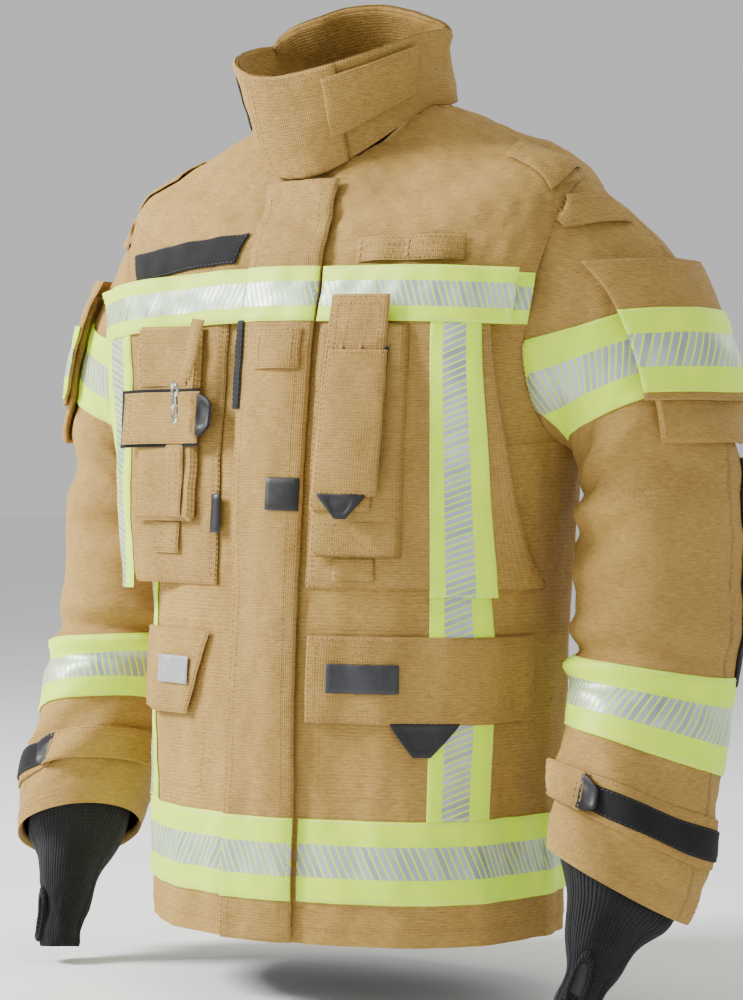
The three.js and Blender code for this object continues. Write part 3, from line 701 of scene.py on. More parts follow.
TAN_LIGHT = (0.510, 0.310, 0.068)
TAN_DEEP = (0.270, 0.150, 0.028)
MATERIALS = {
    "canvas": weave_material("shell_canvas", TAN_LIGHT, TAN_DEEP, 0.0021, 0.0026),
    "twill": weave_material("sleeve_twill", (0.490, 0.298, 0.066), (0.270, 0.153, 0.030), 0.0016, 0.0018),
    "facing": weave_material("pocket_canvas", (0.480, 0.292, 0.064), (0.250, 0.141, 0.027), 0.0021, 0.0026),
    "narrow": trim_material("trim_narrow", 0.050, 0.0225, 0.0062),
    "wide": trim_material("trim_wide", 0.075, 0.0295, 0.0068),
    "fuzz": fuzzy_material("hook_and_loop", (0.001, 0.001, 0.001), (0.006, 0.006, 0.007)),
    "knit": knit_material("wrist_knit", (0.001, 0.001, 0.002), (0.007, 0.008, 0.012)),
    "lining": plain_material("quilted_lining", (0.006, 0.006, 0.008), (0.016, 0.016, 0.020), 0.38, scale=60),
    "rubber": plain_material("moulded_rubber", (0.004, 0.004, 0.005), (0.009, 0.009, 0.011), 0.5),
    "webbing": weave_material("black_webbing", (0.006, 0.006, 0.007), (0.002, 0.002, 0.003), 0.0016, 0.0016),
    "label_grey": plain_material("label_grey", (0.30, 0.31, 0.32), (0.40, 0.41, 0.42), 0.45),
    "label_dark": plain_material("label_dark", (0.018, 0.020, 0.024), (0.030, 0.032, 0.037), 0.45),
    "metal": plain_material("polished_steel", (0.55, 0.56, 0.58), (0.74, 0.75, 0.77), 0.2, 1.0, depth=0.00005),
    "thread": plain_material("tan_thread", (0.40, 0.215, 0.055), (0.52, 0.30, 0.085), 0.7, scale=900),
    "tack": plain_material("orange_thread", (0.50, 0.24, 0.06), (0.62, 0.33, 0.10), 0.7, scale=900),
    "pale_thread": plain_material("pale_thread", (0.72, 0.86, 0.22), (0.84, 0.94, 0.40), 0.7, scale=900),
    "black_thread": plain_material("black_thread", (0.012, 0.012, 0.014), (0.03, 0.03, 0.034), 0.6, scale=900),
}


# ---- Cloth pieces -----------------------------------------------------------------------------------

SEAM_GAPS = (0.0022, 0.0082)  # how far in from an edge its two rows of stitches lie


def cloth(name, place, thickness, body, base, material="facing", cad=(), slot=None, sides="blrt", gaps=SEAM_GAPS,
          bulge=None, step=0.005, mirror=1, thread="thread", rim=0.0011, size=None):
    """A sewn slab with rows of stitches inside its edges; bulge(s, t) adds height to both of its faces."""
    shaped = (lambda s, t, h: place(s, t, h + bulge(s, t))) if bulge else place
    size = size or measured(shaped)
    slab(name, shaped, size, thickness, material, body, base, step, mirror, rim, cad)
    if gaps:
        topstitch(shaped, size, base + thickness + 0.0001, body, gaps, sides, mirror, thread)


def wavy(amount, seed, across=7, along=9):
    return lambda s, t: amount * ripple(s * across, t * along, seed)


def arched(amount):
    return lambda s, t: amount * np.sin(s * math.pi)


def square(left, right, bottom, top, lifted=False):
    return front_place([[left, bottom], [right, bottom], [right, top], [left, top]], lifted)


def run_length(points):
    return float(np.linalg.norm(np.diff(points, axis=0), axis=1).sum())


def declare_cut(place):
    """Measures the widest run of a patch across and along; the sizes are not kept."""
    line = np.linspace(0, 1, 60)
    cuts = [np.full(60, share) for share in np.linspace(0, 1, 25)]
    width = max(run_length(place(line, cut, 0 * line)) for cut in cuts)
    length = max(run_length(place(cut, line, 0 * line)) for cut in cuts)

# ---- Body shell -------------------------------------------------------------------------------------

SIDES = (("left", 1), ("right", -1))
PANEL_SIZE = (0.34, 0.76)
SHELL_LIFT = 0.0015  # the shell's outside above the garment surface
SHELL_STITCH = 0.0017
ARMHOLE_MIDDLE = (ARMPIT + SHOULDER) / 2
ARMHOLE_HALF = (SHOULDER - ARMPIT) / 2
ARMHOLE_SHARES = np.linspace(ARMPIT / NECK_LEVEL, SHOULDER / NECK_LEVEL, 40)


def shell_levels():
    """Levels from hem to neck, closer together near the armhole's ends."""
    low = np.linspace(0, ARMPIT, 84, endpoint=False)
    inside = ARMHOLE_MIDDLE - ARMHOLE_HALF * np.cos(np.linspace(0, math.pi, 60))
    high = np.linspace(SHOULDER, NECK_LEVEL, 30)[1:]
    return np.concatenate([low, inside, high])


def armhole_width(level):
    """Half of the angle that the armhole takes up at a level."""
    share = np.clip((level - ARMHOLE_MIDDLE) / ARMHOLE_HALF, -1, 1)
    return ARMHOLE_SPREAD * np.sqrt(1 - share * share)


def panel_place(front, side):
    """A front or back panel from its middle edge to the side seam and armhole; side is -1 on the right."""
    def place(s, t, height):
        level = t * NECK_LEVEL
        if front:
            start = 0.012
            end = ARMHOLE_ANGLE - armhole_width(level)
        else:
            start = ARMHOLE_ANGLE + armhole_width(level)
            end = math.pi
        return on_body(side * (start + (end - start) * s), level, height)

    return place


PANEL_ROWS = shell_levels() / NECK_LEVEL
for hand, side in SIDES:
    pocket_bag = f"lower_pocket_{hand}"
    for part, front in (("front", True), ("back", False)):
        place = panel_place(front, side)
        outer = shifted(place, SHELL_LIFT)
        # The whole back is one CAD node, so its left half stands for it.
        stands_for = [f"front_{hand}"] if front else (["back"] if side > 0 else [])
        lined = [f"lining_{hand}", pocket_bag] if front else (["lining_back"] if side > 0 else [])
        panel = shell(f"{part}_cloth_{hand}", outer, PANEL_SIZE, "canvas", "coat", 0.005, rows_at=PANEL_ROWS,
                      cad=stands_for)
        declare_cut(outer)
        shell(f"{part}_lining_{hand}", lambda s, t, h, p=place: p(s, 0.014 + t * 0.98, h - 0.006), PANEL_SIZE,
              "lining", "coat", 0.014, rows_at=PANEL_ROWS[::2], cad=lined)
        shell(f"{part}_hem_fold_{hand}", lambda s, t, h, p=place: p(s, 0.018 * t, h - 0.0022 + 0.0008 * t),
              (0.34, 0.014), "canvas", "coat", 0.005)
        for gap in (0.022, 0.0245):
            stitch(place, [(0.03, gap), (1.0, gap)], SHELL_STITCH, "coat")
    # Side, shoulder and armhole seams are rows along the panels' edges.
    for front, insets in ((True, (0.985, 0.965)), (False, (0.02,))):
        edge_place = panel_place(front, side)
        for inset in insets:
            for shares in ((0.01, ARMHOLE_SHARES[0] - 0.004), ARMHOLE_SHARES, (ARMHOLE_SHARES[-1] + 0.004, 0.985)):
                stitch(edge_place, [(inset, share) for share in shares], SHELL_STITCH, "coat")
    # The waist seam.
    for start, end in ((0.2, 1.66), (1.7, math.pi)):
        waist = body_place((side * start, side * end), (278, 287))
        for row in (0.05, 0.95):
            stitch(waist, [(0, row), (1, row)], SHELL_STITCH, "coat")

# ---- Trim on the body -------------------------------------------------------------------------------

TRIM_BASE = 0.0021
TRIM_THICK = 0.0014
TRIM_GAPS = (0.0022,)
TRIM_WIDTHS = {"narrow": 0.050, "wide": 0.075}
HEM_BAND = (38, 113)
CHEST_BAND_LOW = 564
CHEST_BAND_END = 1.03  # the chest band's end, as an angle from the front
SIDE_SEAM = 1.67


def trim(name, place, body, cad=(), base=TRIM_BASE, material="narrow", upright=False, mirror=1, ends=True):
    """A strip of trim; its band runs along s, or along t when upright. ends says that its ends are stitched."""
    shaped = (lambda s, t, h: place(1 - t, s, h)) if upright else place
    size = measured(shaped)
    slab(name, shaped, (size[0], TRIM_WIDTHS[material]), TRIM_THICK, material, body, base, 0.005, mirror, 0.0007,
         cad)
    topstitch(shaped, size, base + TRIM_THICK, body, TRIM_GAPS, "blrt" if ends else "bt", mirror, "pale_thread")


def band_sag(angle):
    """How far the chest band hangs below level towards its ends, in millimetres."""
    return np.where(angle < 0, -12.0, -4.0) * smoothstep(0.1, 1.0, np.abs(angle))


def chest_band_place(start):
    def place(s, t, height):
        angle = start + (math.copysign(CHEST_BAND_END, start) - start) * s
        level = body_level_at(angle, (CHEST_BAND_LOW + band_sag(angle)) * MM + 0.050 * t)
        flat = on_body(angle, level, 0 * s)
        return on_body(angle, level, height + chest_lift(flat[..., 0]))

    return place


def mirrored(corners, side):
    return [[side * x, z] for x, z in corners]


trim("hem_band_front_left", body_place((0.25, SIDE_SEAM), HEM_BAND), "coat", ("hem_band",), material="wide")
trim("hem_band_front_right", body_place((-0.10, -SIDE_SEAM), HEM_BAND), "coat", material="wide")
for hand, side in SIDES:
    trim(f"hem_band_back_{hand}", body_place((side * SIDE_SEAM, side * math.pi), HEM_BAND), "coat", material="wide",
         ends=False)
    lower_corners = mirrored([[160, 113], [194, 113], [198, 322], [162, 322]], side)
    upper_corners = mirrored([[162, 316], [198, 316], [206, 574], [167, 574]], side)
    trim(f"front_trim_lower_{hand}", front_place(lower_corners), "coat", (f"front_trim_{hand}",), upright=True)
    trim(f"front_trim_upper_{hand}", front_place(upper_corners, True), "coat", base=0.0066, upright=True)
    band_start = 0.2 if side > 0 else -0.11
    trim(f"chest_band_{hand}", chest_band_place(band_start), "coat", (f"chest_band_{hand}",), base=0.0082)
    side_low = CHEST_BAND_LOW - (4 if side > 0 else 12)
    trim(f"side_trim_{hand}", body_place((side * 1.0, side * 1.13), (side_low, side_low + 46)), "coat")
    trim(f"back_trim_{hand}", body_place((side * 2.30, side * 2.56), (113, 560)), "coat", upright=True)
trim("back_band", body_place((2.1, FULL_TURN - 2.1), (560, 610)), "coat", base=0.0038)

# ---- Chest pockets ----------------------------------------------------------------------------------

POCKET_INNER = 54
POCKET_OUTER = 212
POCKET_LOW = 322
POCKET_TOP = 572


def pocket_swell(s, t):
    return 0.0016 * smoothstep(0, 0.08, s) * smoothstep(1, 0.9, s) * smoothstep(0, 0.05, t)


def gusset_place(start, end):
    """A wall between the coat and a pocket's standing edge, whose foot runs between two [x, z] points."""
    foot = front_place([start, start, end, end])

    def place(s, t, height):
        along = foot(0 * s, t, 0 * s)
        return foot(0 * s, t, height + s * (0.0036 + chest_lift(along[..., 0])))

    return place


for hand, side in SIDES:
    inner_x = side * POCKET_INNER
    outer_x = side * POCKET_OUTER
    cloth(f"chest_pocket_{hand}", square(inner_x, outer_x, POCKET_LOW, POCKET_TOP, True), 0.0026, "coat", 0.0022,
          cad=(f"chest_pocket_{hand}",), bulge=pocket_swell, rim=0.0018)
    outer_low = [outer_x, POCKET_LOW]
    for edge, wall in (("side", gusset_place(outer_low, [outer_x, POCKET_TOP])),
                       ("bottom", gusset_place([inner_x, POCKET_LOW], outer_low))):
        shell(f"chest_pocket_gusset_{edge}_{hand}", wall, (0.02, 0.25), "facing", "coat", 0.004)
    lines = square(side * 60, side * 158, 330, 560, True)
    for path in ([(0.03, 0), (0.03, 1)], [(0.0, 0.0), (0.34, 0.13)]):
        stitch(lines, path, 0.0062, "coat")


def pull_tab(name, place, body, base, cad=(), thickness=0.0032, mirror=1):
    """A moulded pull: a wide tongue that narrows to a round tip, with a raised rim and a shallow dish."""
    def shaped(s, t, height):
        narrow = 0.46 + 0.54 * np.sin(np.clip(t, 0, 1) * QUARTER) ** 0.8
        centred = 0.5 + (s - 0.5) * narrow
        dish = np.clip(1 - ((s - 0.5) / 0.34) ** 2, 0, 1) * np.clip(1 - ((t - 0.52) / 0.36) ** 2, 0, 1)
        return place(centred, t, height - 0.0009 * smoothstep(0.0, 0.35, dish))

    slab(name, shaped, measured(place), thickness, "rubber", body, base, 0.0016, mirror, cad=cad)


# Radio pocket on the left chest: a gusseted body, a wide strap under the flap, a lower panel and a loop.
cloth("radio_pocket", front_place([[64, 350], [142, 350], [148, 560], [66, 560]]), 0.0135, "coat", 0.0058,
      cad=("radio_pocket",), rim=0.0042, gaps=(0.0052,), bulge=wavy(0.0011, 2.3, 5, 12))
panel = front_place([[67, 352], [139, 352], [140, 382], [67, 382]])
cloth("radio_pocket_panel", panel, 0.0014, "coat", 0.0188, gaps=(0.0022,))
crossed_box = [(0.28, 0.08), (0.74, 0.92), (0.74, 0.08), (0.28, 0.92), (0.28, 0.08)]
for start, end in zip(crossed_box[:-1], crossed_box[1:]):
    stitch(panel, [start, end], 0.0205, "coat")
cloth("radio_pocket_loop", square(84, 120, 329, 350), 0.0022, "coat", 0.0085, bulge=wavy(0.0008, 4.4, 4, 3))
strap = front_place([[66, 392], [120, 392], [134, 585], [76, 585]])
cloth("radio_strap", strap, 0.0022, "coat", 0.0205, rim=0.001, bulge=wavy(0.0007, 1.1, 4, 8))
for s in (0.34, 0.66):
    stitch(strap, [(s - 0.05, 0.76), (s - 0.01, 0.83), (s + 0.03, 0.92), (s + 0.03, 0.97)], 0.0229, "coat")
    bar_tack(strap, (0.05, 0.19), s - 0.05, 0.755, 0.006, 0.0232, "coat")
cloth("radio_flap", front_place([[71, 405], [127, 405], [134, 535], [80, 535]]), 0.0026, "radio_flap", 0.0262,
      cad=("radio_flap",), rim=0.0012, gaps=(0.0024,),
      bulge=lambda s, t: 0.0012 * ripple(s * 3, t * 9, 3.1) + 0.001 * np.sin(s * math.pi))
cloth("radio_flap_black_edge", front_place([[127, 500], [131, 500], [135, 538], [131, 538]]), 0.0016, "coat",
      0.0246, "fuzz", gaps=None)
pull_tab("radio_flap_pull", front_place([[87, 384], [107, 384], [119, 407], [75, 407]]), "radio_flap", 0.0262,
         ("radio_flap_pull",))

# Torch holder on the right chest: a padded tube, a strap with its pull, the hook's webbing and a lower loop.
cloth("torch_holder", square(-152, -80, 380, 562, True), 0.0105, "coat", 0.0058, cad=("torch_holder",), rim=0.0038,
      gaps=(0.0045,), bulge=wavy(0.0016, 6.3, 5, 12))
cloth("torch_strip", square(-116, -92, 384, 452, True), 0.0018, "coat", 0.0168, bulge=wavy(0.0012, 1.9, 3, 6))
cloth("torch_upper_patch", square(-146, -92, 506, 545, True), 0.0014, "coat", 0.0166, gaps=(0.002,))
cloth("torch_strap", square(-160, -70, 452, 500, True), 0.0024, "coat", 0.0195, cad=("torch_strap",),
      bulge=wavy(0.0008, 3.7, 5, 3))
cloth("torch_strap_hook_strip", square(-165, -72, 449, 503, True), 0.0012, "coat", 0.0176, "fuzz", gaps=None)
torch_pull = square(-72, -54, 458, 498)
pull_tab("torch_strap_pull", lambda s, t, h: torch_pull(1 - t, s, h), "coat", 0.0190)
cloth("torch_bottom_loop", square(-134, -104, 350, 380, True), 0.002, "coat", 0.0075, bulge=wavy(0.0012, 5.5, 3, 3))
cloth("hook_webbing", front_place([[-92, 510], [-76, 508], [-62, 564], [-78, 566]]), 0.002, "coat", 0.0262,
      cad=("hook_webbing",), gaps=(0.002,))
cloth("pocket_edge_tab", square(-60, -48, 370, 406), 0.0024, "coat", 0.0068, "rubber", gaps=None)

# ---- Storm flap and zip -----------------------------------------------------------------------------

FLAP_LEFT = -38
FLAP_RIGHT = 49
FLAP_TOP = 700
FLAP_TAPER = 0.17  # how much narrower the flap is at the hem than at the neck
FLAP_THICK = 0.0028
ON_FLAP = 0.0030  # base of whatever is sewn on the flap
flap_plain = square(FLAP_LEFT, FLAP_RIGHT, 0, FLAP_TOP)


def flap_lift(s):
    """The flap stands off the zip in its middle and comes down to the fronts at its edges."""
    return 0.0052 + 0.0062 * np.sin(np.clip(s, 0, 1) * math.pi) ** 0.7


def on_flap(left, right, bottom, top):
    """Patches that follow the storm flap, by millimetres across and up."""
    def place(s, t, height):
        z = bottom + (top - bottom) * t
        x = left + (right - left) * s
        x = FLAP_RIGHT - (FLAP_RIGHT - x) * (1 - FLAP_TAPER * (1 - z / FLAP_TOP))
        share = (x - FLAP_LEFT) / (FLAP_RIGHT - FLAP_LEFT)
        wave = 0.0011 * ripple(share * 3, z / 46, 5.2) * (0.3 + share)
        return flap_plain(share, z / FLAP_TOP, height + flap_lift(share) + wave)

    return place


whole_flap = on_flap(FLAP_LEFT, FLAP_RIGHT, 0, FLAP_TOP - 6)
cloth("storm_flap", whole_flap, FLAP_THICK, "storm_flap", 0.0, cad=("storm_flap",), rim=0.0012, gaps=None)
for gap, edge in ((0.003, "l"), (0.011, "l"), (0.003, "r"), (0.014, "r"), (0.024, "b")):
    for path in inset_path((0.087, 0.694), gap, edge):
        stitch(whole_flap, path, ON_FLAP, "storm_flap")
trim("chest_band_flap", on_flap(-37, 49, CHEST_BAND_LOW, CHEST_BAND_LOW + 50), "storm_flap", ("chest_band_flap",),
     base=0.0029)
trim("hem_band_flap", on_flap(-37, 49, *HEM_BAND), "storm_flap", ("hem_band_flap",), base=0.0029, material="wide")
flap_loop = on_flap(-14, 40, 520, 558)
cloth("storm_flap_loop", flap_loop, 0.0018, "storm_flap", 0.0032, cad=("storm_flap_loop",), bulge=arched(0.0022))
for s in (0.16, 0.84):
    stitch(flap_loop, [(s, 0.05), (s, 0.95)], 0.0066, "storm_flap")
cloth("storm_flap_square", on_flap(12, 47, 391, 421), 0.0016, "storm_flap", ON_FLAP, "rubber", gaps=None)
cloth("storm_flap_edge_strap", on_flap(-42, -31, 484, 566), 0.0022, "storm_flap", ON_FLAP, "webbing",
      gaps=(0.0016,), thread="black_thread")
for hand, side in SIDES:
    cloth(f"zip_tape_{hand}", square(side * 4, side * 30, 12, 686), 0.0012, "coat", -0.0035, "lining",
          cad=(f"zip_tape_{hand}",), gaps=None, rim=0.0005)

# ---- Name panel, microphone loop, shoulder tabs and lower pockets -----------------------------------

def name_place(s, t, height):
    angle = -0.215 - 0.715 * s
    low = (CHEST_BAND_LOW + 57 + band_sag(angle)) * MM
    return on_body(angle, body_level_at(angle, low + 0.028 * t), height)


cloth("name_panel", name_place, 0.0022, "coat", 0.0020, "fuzz", cad=("name_panel",), thread="black_thread",
      gaps=(0.0016,))
microphone = square(84, 190, 618, 640)
cloth("microphone_loop", microphone, 0.0016, "coat", 0.0024, cad=("microphone_loop",),
      bulge=lambda s, t: 0.0030 * np.sin(s * FULL_TURN) ** 2)
for s in (0.5, 0.03):
    bar_tack(microphone, (0.106, 0.02), s, 0.5, 0.016, 0.0046, "coat", upright=True)

LOWER_FLAP_ANGLES = (0.29, 1.53)
LOWER_FLAP_LOW = 0.200
LOWER_FLAP_HIGH = 0.279
LABEL_SIZE = (0.058, 0.025)


def shoulder_tab_place(side):
    return lambda s, t, h: on_body(side * (1.25 + 0.47 * s), 5.1 + 0.65 * t + 0.22 * (s - 0.5), h)


def lower_flap_place(side):
    """The right flap's inner end is slanted."""
    slant = 0.14 if side < 0 else 0.0

    def place(s, t, height):
        start, end = LOWER_FLAP_ANGLES
        start = start + slant * (1 - t)
        angle = side * (start + (end - start) * s)
        level = body_level_at(angle, LOWER_FLAP_LOW + (LOWER_FLAP_HIGH - LOWER_FLAP_LOW) * t)
        return on_body(angle, level, height)

    return place


LABEL_EDGES = {"left": (80, 140), "right": (84, 128)}
for hand, side in SIDES:
    cloth(f"shoulder_tab_{hand}", shoulder_tab_place(side), 0.0016, "coat", 0.0032, cad=(f"shoulder_tab_{hand}",),
          bulge=arched(0.0028))
    cloth(f"lower_flap_{hand}", lower_flap_place(side), 0.0028, f"lower_flap_{hand}", 0.0046,
          cad=(f"lower_flap_{hand}",), rim=0.0013,
          bulge=lambda s, t: 0.0014 * ripple(s * 7, t * 2, 2.7) + 0.0012 * (1 - t))
    label_inner, label_outer = LABEL_EDGES[hand]
    slab(f"label_{hand}", square(side * label_inner, side * label_outer, 228, 254), LABEL_SIZE, 0.0012,
         "label_grey" if side < 0 else "label_dark", f"lower_flap_{hand}", 0.0098, 0.004, rim=0.0006,
         cad=(f"label_{hand}",))
    bag = body_place((side * 0.34, side * 0.98), (132, 200))
    stitch(bag, [(0, 1), (0, 0.06), (0.03, 0), (1, 0), (1, 1)], SHELL_STITCH, "coat")
pull_tab("lower_flap_pull", front_place([[144, 171], [168, 171], [179, 202], [133, 202]]), "lower_flap_left",
         0.0068, ("lower_flap_pull",), thickness=0.0034)

# ---- Collar -----------------------------------------------------------------------------------------

COLLAR_STITCH = 0.0058


def collar_patch(angles, levels):
    def place(s, t, height):
        return on_collar(angles[0] + (angles[1] - angles[0]) * s, levels[0] + (levels[1] - levels[0]) * t, height)

    return place


around = collar_patch((0.05, FULL_TURN - 0.05), (0.0, COLLAR_TOP))
cloth("collar", around, 0.0056, "coat", 0.0, cad=("collar",), size=(0.56, 0.085), rim=0.0026, gaps=(0.005,),
      sides="trl", step=0.0045)
for row in (0.055, 0.10):
    stitch(around, [(0.0, row), (1.0, row)], COLLAR_STITCH, "coat")
for row in (0.42, 0.46):
    stitch(around, [(0.62, row), (0.72, row + 0.02), (0.93, row)], COLLAR_STITCH, "coat")
cloth("collar_inner_facing", collar_patch((0.2, FULL_TURN - 0.2), (0.15, 1.9)), 0.0012, "coat", -0.0016,
      size=(0.52, 0.08), gaps=(0.006, 0.0085), rim=0.0006)
cloth("collar_overlap", collar_patch((-0.40, 0.53), (0.03, COLLAR_TOP)), 0.0040, "coat", 0.0068,
      cad=("collar_overlap",), rim=0.002, gaps=(0.004, 0.0105), sides="tlr")
cloth("throat_tab", collar_patch((0.40, 1.17), (0.66, 1.74)), 0.0028, "throat_tab", 0.0120, cad=("throat_tab",),
      gaps=(0.0035, 0.0085), rim=0.0016, bulge=lambda s, t: 0.0016 * np.sin(s * 5) - 0.0035 * (1 - s))
cloth("throat_hook_patch", collar_patch((-1.0, -0.66), (0.7, 1.6)), 0.0014, "coat", 0.0058, "fuzz", gaps=None)

# Hanger loop inside the back of the collar.
loop_low, loop_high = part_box("hanger_loop")
LOOP_EDGE = 0.007


def hanger(s, t, height):
    x = (s - 0.5) * (loop_high[0] - loop_low[0])
    arc = np.clip(1 - (2 * (s - 0.5)) ** 2, 0, 1) ** 0.5
    drop = loop_high[2] - 0.006 - 0.75 * (loop_high[2] - loop_low[2] - 0.008) * arc
    return np.stack([x, (loop_low[1] + loop_high[1]) / 2 + height + 0 * x, drop + (t - 0.5) * LOOP_EDGE], axis=-1)


cloth("hanger_loop", hanger, 0.0022, "coat", -0.0011, "webbing", cad=("hanger_loop",), gaps=(0.0016,),
      thread="black_thread", step=0.003, size=(0.085, LOOP_EDGE))

# ---- Sleeves ----------------------------------------------------------------------------------------

SLEEVE_JOIN = 3.6  # the ring where the upper sleeve's cloth meets the lower sleeve's
FLAP_TURNS = (-1.0, 1.0)
FLAP_HEIGHTS = (489, 612)


def sleeve_rings(turns, rings):
    def place(s, t, height):
        return on_sleeve(turns[0] + (turns[1] - turns[0]) * s, rings[0] + (rings[1] - rings[0]) * t, height)

    return place


def all_round(start, end):
    return sleeve_rings((0, FULL_TURN), (start, end))


def flap_swell(s, t):
    return 0.0012 * ripple(s * 5, t * 4, 5.1) + 0.0016 * (1 - t)


def flap_band(s, t, height):
    """The strip of trim across a sleeve pocket's flap."""
    swell = flap_swell(s, 0.3 + 0 * t)
    return sleeve_place(FLAP_TURNS, FLAP_HEIGHTS)(s, 0.055 + 0.58 * t, height + swell)


# The wristlet's knit has ribs along the arm, gathers across it, and a thumb hole in a thick rim.
knit_plain = all_round(7.2, WRISTLET_END)
thumb_patch = sleeve_rings((0.75, 1.55), (9.9, 8.9))


def knit_place(s, t, height):
    ribs = 0.0007 * np.abs(np.sin(s * math.pi * 58))
    gathers = 0.0022 * np.sin(t * 22 + 1.5 * np.sin(s * FULL_TURN)) * (0.4 + 0.6 * np.sin(t * math.pi))
    return knit_plain(s, t, height - 0.012 + ribs + gathers)


def knit_inside(s, t, height):
    return knit_place(s, 1 - 0.25 * t, height - 0.0024 * np.sin(np.clip(t * 5, 0, 1) * QUARTER))


def thumb_rim(s, t, height):
    turn = s * FULL_TURN
    reach = 0.40 * (1 + 0.20 * np.cos(t * FULL_TURN))
    rise = 0.003 * np.sin(t * FULL_TURN) - 0.0095
    return thumb_patch(0.5 + reach * np.cos(turn), 0.5 + reach * np.sin(turn), height + rise)


def thumb_hole(s, t, height):
    turn = s * FULL_TURN
    return thumb_patch(0.5 + 0.36 * t * np.cos(turn), 0.5 + 0.36 * t * np.sin(turn), height - 0.0105)


def cuff_rim(s, t, height):
    turned_in = 0.0045 * np.sin(np.clip(t * 6, 0, 1) * QUARTER)
    return all_round(CUFF, CUFF - 0.16)(s, t, height + SHELL_LIFT - turned_in)


for hand, mirror in SIDES:
    upper = f"sleeve_upper_{hand}"
    lower = f"sleeve_lower_{hand}"

    def ring_shell(name, place, size, material, step, body=lower, **extra):
        return shell(f"{name}_{hand}", place, size, material, body, step, mirror, wraps=True, **extra)

    def sleeve_cloth(name, place, thickness, body, base, material="twill", **extra):
        cloth(f"{name}_{hand}", place, thickness, body, base, material, mirror=mirror, **extra)

    # The upper sleeve hangs from the armhole and the lower one bends at the elbow.
    cap = all_round(0.0, SLEEVE_JOIN)
    arm = all_round(SLEEVE_JOIN, CUFF)
    cap_cloth = ring_shell("sleeve_upper_cloth", shifted(cap, SHELL_LIFT), (0.44, 0.32), "twill", 0.0045, None,
                           cad=(upper,))
    arm_cloth = ring_shell("sleeve_lower_cloth", shifted(arm, SHELL_LIFT), (0.40, 0.36), "twill", 0.0045, None,
                           cad=(lower,))
    ring_shell("cuff_rim", cuff_rim, (0.38, 0.012), "twill", 0.003)
    ring_shell("cuff_lining", shifted(all_round(6.6, CUFF - 0.1), -0.0042), (0.38, 0.10), "lining", 0.006)
    declare_cut(cap)
    declare_cut(arm)
    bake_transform(cap_cloth)
    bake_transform(arm_cloth)

    # Rows of stitches round the cuff and across the elbow.
    for ring in (6.86, 6.94, 7.86, 7.93):
        stitch(all_round(ring, ring + 0.001), [(0, 0), (0.5, 0), (1, 0)], SHELL_STITCH, lower, mirror)
    for z in (404, 410):
        stitch(sleeve_place((-1.0, 2.2), (z, z + 1), 8), [(0, 0), (0.5, 0), (1, 0)], SHELL_STITCH, upper, mirror)

    # Trim round the upper arm and the forearm.
    trim(f"arm_band_{hand}", sleeve_place((-2.3, 2.45), (478, 553), 26), upper, (f"arm_band_{hand}",),
         material="wide", mirror=mirror)
    trim(f"forearm_band_{hand}", sleeve_rings((-2.4, FULL_TURN - 2.4), (6.35, 5.42)), lower,
         (f"forearm_band_{hand}",), material="wide", mirror=mirror, ends=False)

    # Sleeve pocket, its flap with a strip of trim, and the loop above.
    pocket_waves = wavy(0.0016, 3.8, 6, 6)
    sleeve_cloth("sleeve_pocket", sleeve_place((-0.86, 0.88), (452, 600)), 0.0068, upper, 0.0044, rim=0.0032,
                 cad=(f"sleeve_pocket_{hand}",), gaps=(0.0045,), bulge=lambda s, t: pocket_waves(s, t) + 0.002 * t)
    sleeve_cloth("sleeve_flap", sleeve_place(FLAP_TURNS, FLAP_HEIGHTS), 0.0026, f"sleeve_flap_{hand}", 0.0138,
                 rim=0.0013, cad=(f"sleeve_flap_{hand}",), bulge=flap_swell)
    trim(f"sleeve_flap_band_{hand}", flap_band, f"sleeve_flap_{hand}", base=0.0168, material="wide", mirror=mirror)
    sleeve_cloth("sleeve_loop", sleeve_place((0.1, 0.85), (630, 655), 22), 0.0018, "coat", 0.0032, step=0.004,
                 bulge=arched(0.0022))

    # Elbow patch behind, and the cuff's strips and strap.
    patch_place = sleeve_place((-0.35, -1.65), (235, 440))
    elbow_patch = slab(f"elbow_patch_{hand}", patch_place, measured(patch_place), 0.0022, "webbing", None, 0.0022,
                       0.005, mirror)
    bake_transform(elbow_patch)
    sleeve_cloth("cuff_backing", sleeve_rings((-0.85, 1.72), (7.36, 6.78)), 0.0014, lower, 0.0021, gaps=(0.0022,))
    sleeve_cloth("cuff_hook_strip", sleeve_rings((-0.75, 1.62), (7.26, 6.90)), 0.0018, lower, 0.0036, "fuzz",
                 gaps=(0.0018,), thread="black_thread")
    sleeve_cloth("cuff_strap", sleeve_rings((1.62, 3.2), (7.36, 6.80)), 0.0032, f"cuff_strap_{hand}", 0.0060,
                 cad=(f"cuff_strap_{hand}",), bulge=lambda s, t: 0.0012 * np.sin(s * 6))
    tip = sleeve_rings((1.42, 1.70), (7.34, 6.82))
    pull_tab(f"cuff_strap_pull_{hand}", lambda s, t, h: tip(t, s, h), f"cuff_strap_{hand}", 0.0066, mirror=mirror)

    ring_shell("wristlet", knit_place, (0.24, 0.15), "knit", 0.0022, cad=(f"wristlet_{hand}",))
    ring_shell("wristlet_inside", knit_inside, (0.24, 0.04), "knit", 0.003)
    ring_shell("thumb_hole_rim", thumb_rim, (0.09, 0.02), "knit", 0.0022)
    ring_shell("thumb_hole", thumb_hole, (0.08, 0.012), "lining", 0.002, slot="knit")

# ---- Camera, light and floor ------------------------------------------------------------------------

def aim(item, target):
    item.rotation_euler = (Vector(target) - item.location).to_track_quat("-Z", "Y").to_euler()


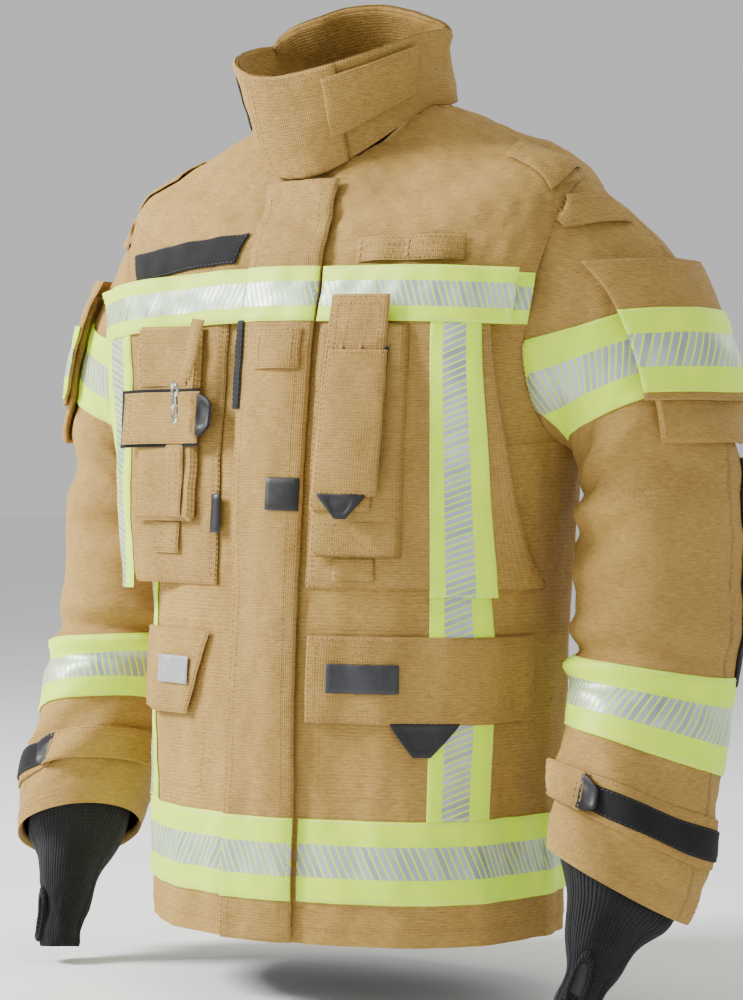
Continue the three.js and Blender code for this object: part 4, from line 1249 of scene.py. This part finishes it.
AZIMUTH = math.radians(38)
ELEVATION = math.radians(1)
DISTANCE = 3.0
SENSOR = 24
VIEW_HEIGHT = 0.955  # metres that the picture is high at the coat
LOOK_HEIGHT = 0.430  # above the hem
AIM_RIGHT = 0.0129
AIM_DOWN = 0.0306
level_reach = math.cos(ELEVATION)
toward = np.array([math.sin(AZIMUTH) * level_reach, -math.cos(AZIMUTH) * level_reach, math.sin(ELEVATION)])
rightward = np.array([math.cos(AZIMUTH), math.sin(AZIMUTH), 0.0])
look_at = np.array([0.0, MIDDLE_DEPTH, HEM_HEIGHT + LOOK_HEIGHT]) + rightward * AIM_RIGHT
look_at = look_at + np.array([0, 0, -AIM_DOWN])
camera_data = bpy.data.cameras.new("camera")
camera = bpy.data.objects.new("camera", camera_data)
bpy.context.scene.collection.objects.link(camera)
camera.location = look_at + toward * DISTANCE
camera_data.sensor_fit = "VERTICAL"
camera_data.sensor_height = SENSOR
camera_data.lens = SENSOR * DISTANCE / VIEW_HEIGHT
aim(camera, look_at)
bpy.context.scene.camera = camera

LIGHT_TARGET = (0, 0, -0.4)


def area_light(name, place, power, size):
    data = bpy.data.lights.new(name, "AREA")
    data.energy = power
    data.size = size
    lamp = bpy.data.objects.new(name, data)
    bpy.context.scene.collection.objects.link(lamp)
    lamp.location = place
    aim(lamp, LIGHT_TARGET)


area_light("key_light", (-2.3, -1.7, 1.3), 250, 1.0)
area_light("fill_light", (2.6, -1.8, 0.2), 9, 1.8)
area_light("top_light", (0.5, 0.1, 2.3), 18, 1.4)
area_light("back_light", (0.6, 2.4, 0.9), 16, 1.6)
world = bpy.data.worlds.new("studio")
bpy.context.scene.world = world
world.use_nodes = True
background = world.node_tree.nodes["Background"]
background.inputs["Color"].default_value = (1, 1, 1, 1)
background.inputs["Strength"].default_value = 0.62

FLOOR_REACH = 14
floor_height = cad_box[0][2] - 0.012
floor_signs = ((-1, -1), (1, -1), (1, 1), (-1, 1))
floor_corners = [[x * FLOOR_REACH, y * FLOOR_REACH, floor_height] for x, y in floor_signs]
pale_floor = plain_material("pale_floor", (0.90, 0.90, 0.90), (0.94, 0.94, 0.94), 0.8, scale=3)
floor = make_object("studio_floor", np.array(floor_corners), [(0, 1, 2, 3)], pale_floor, None)

finish_stitches()
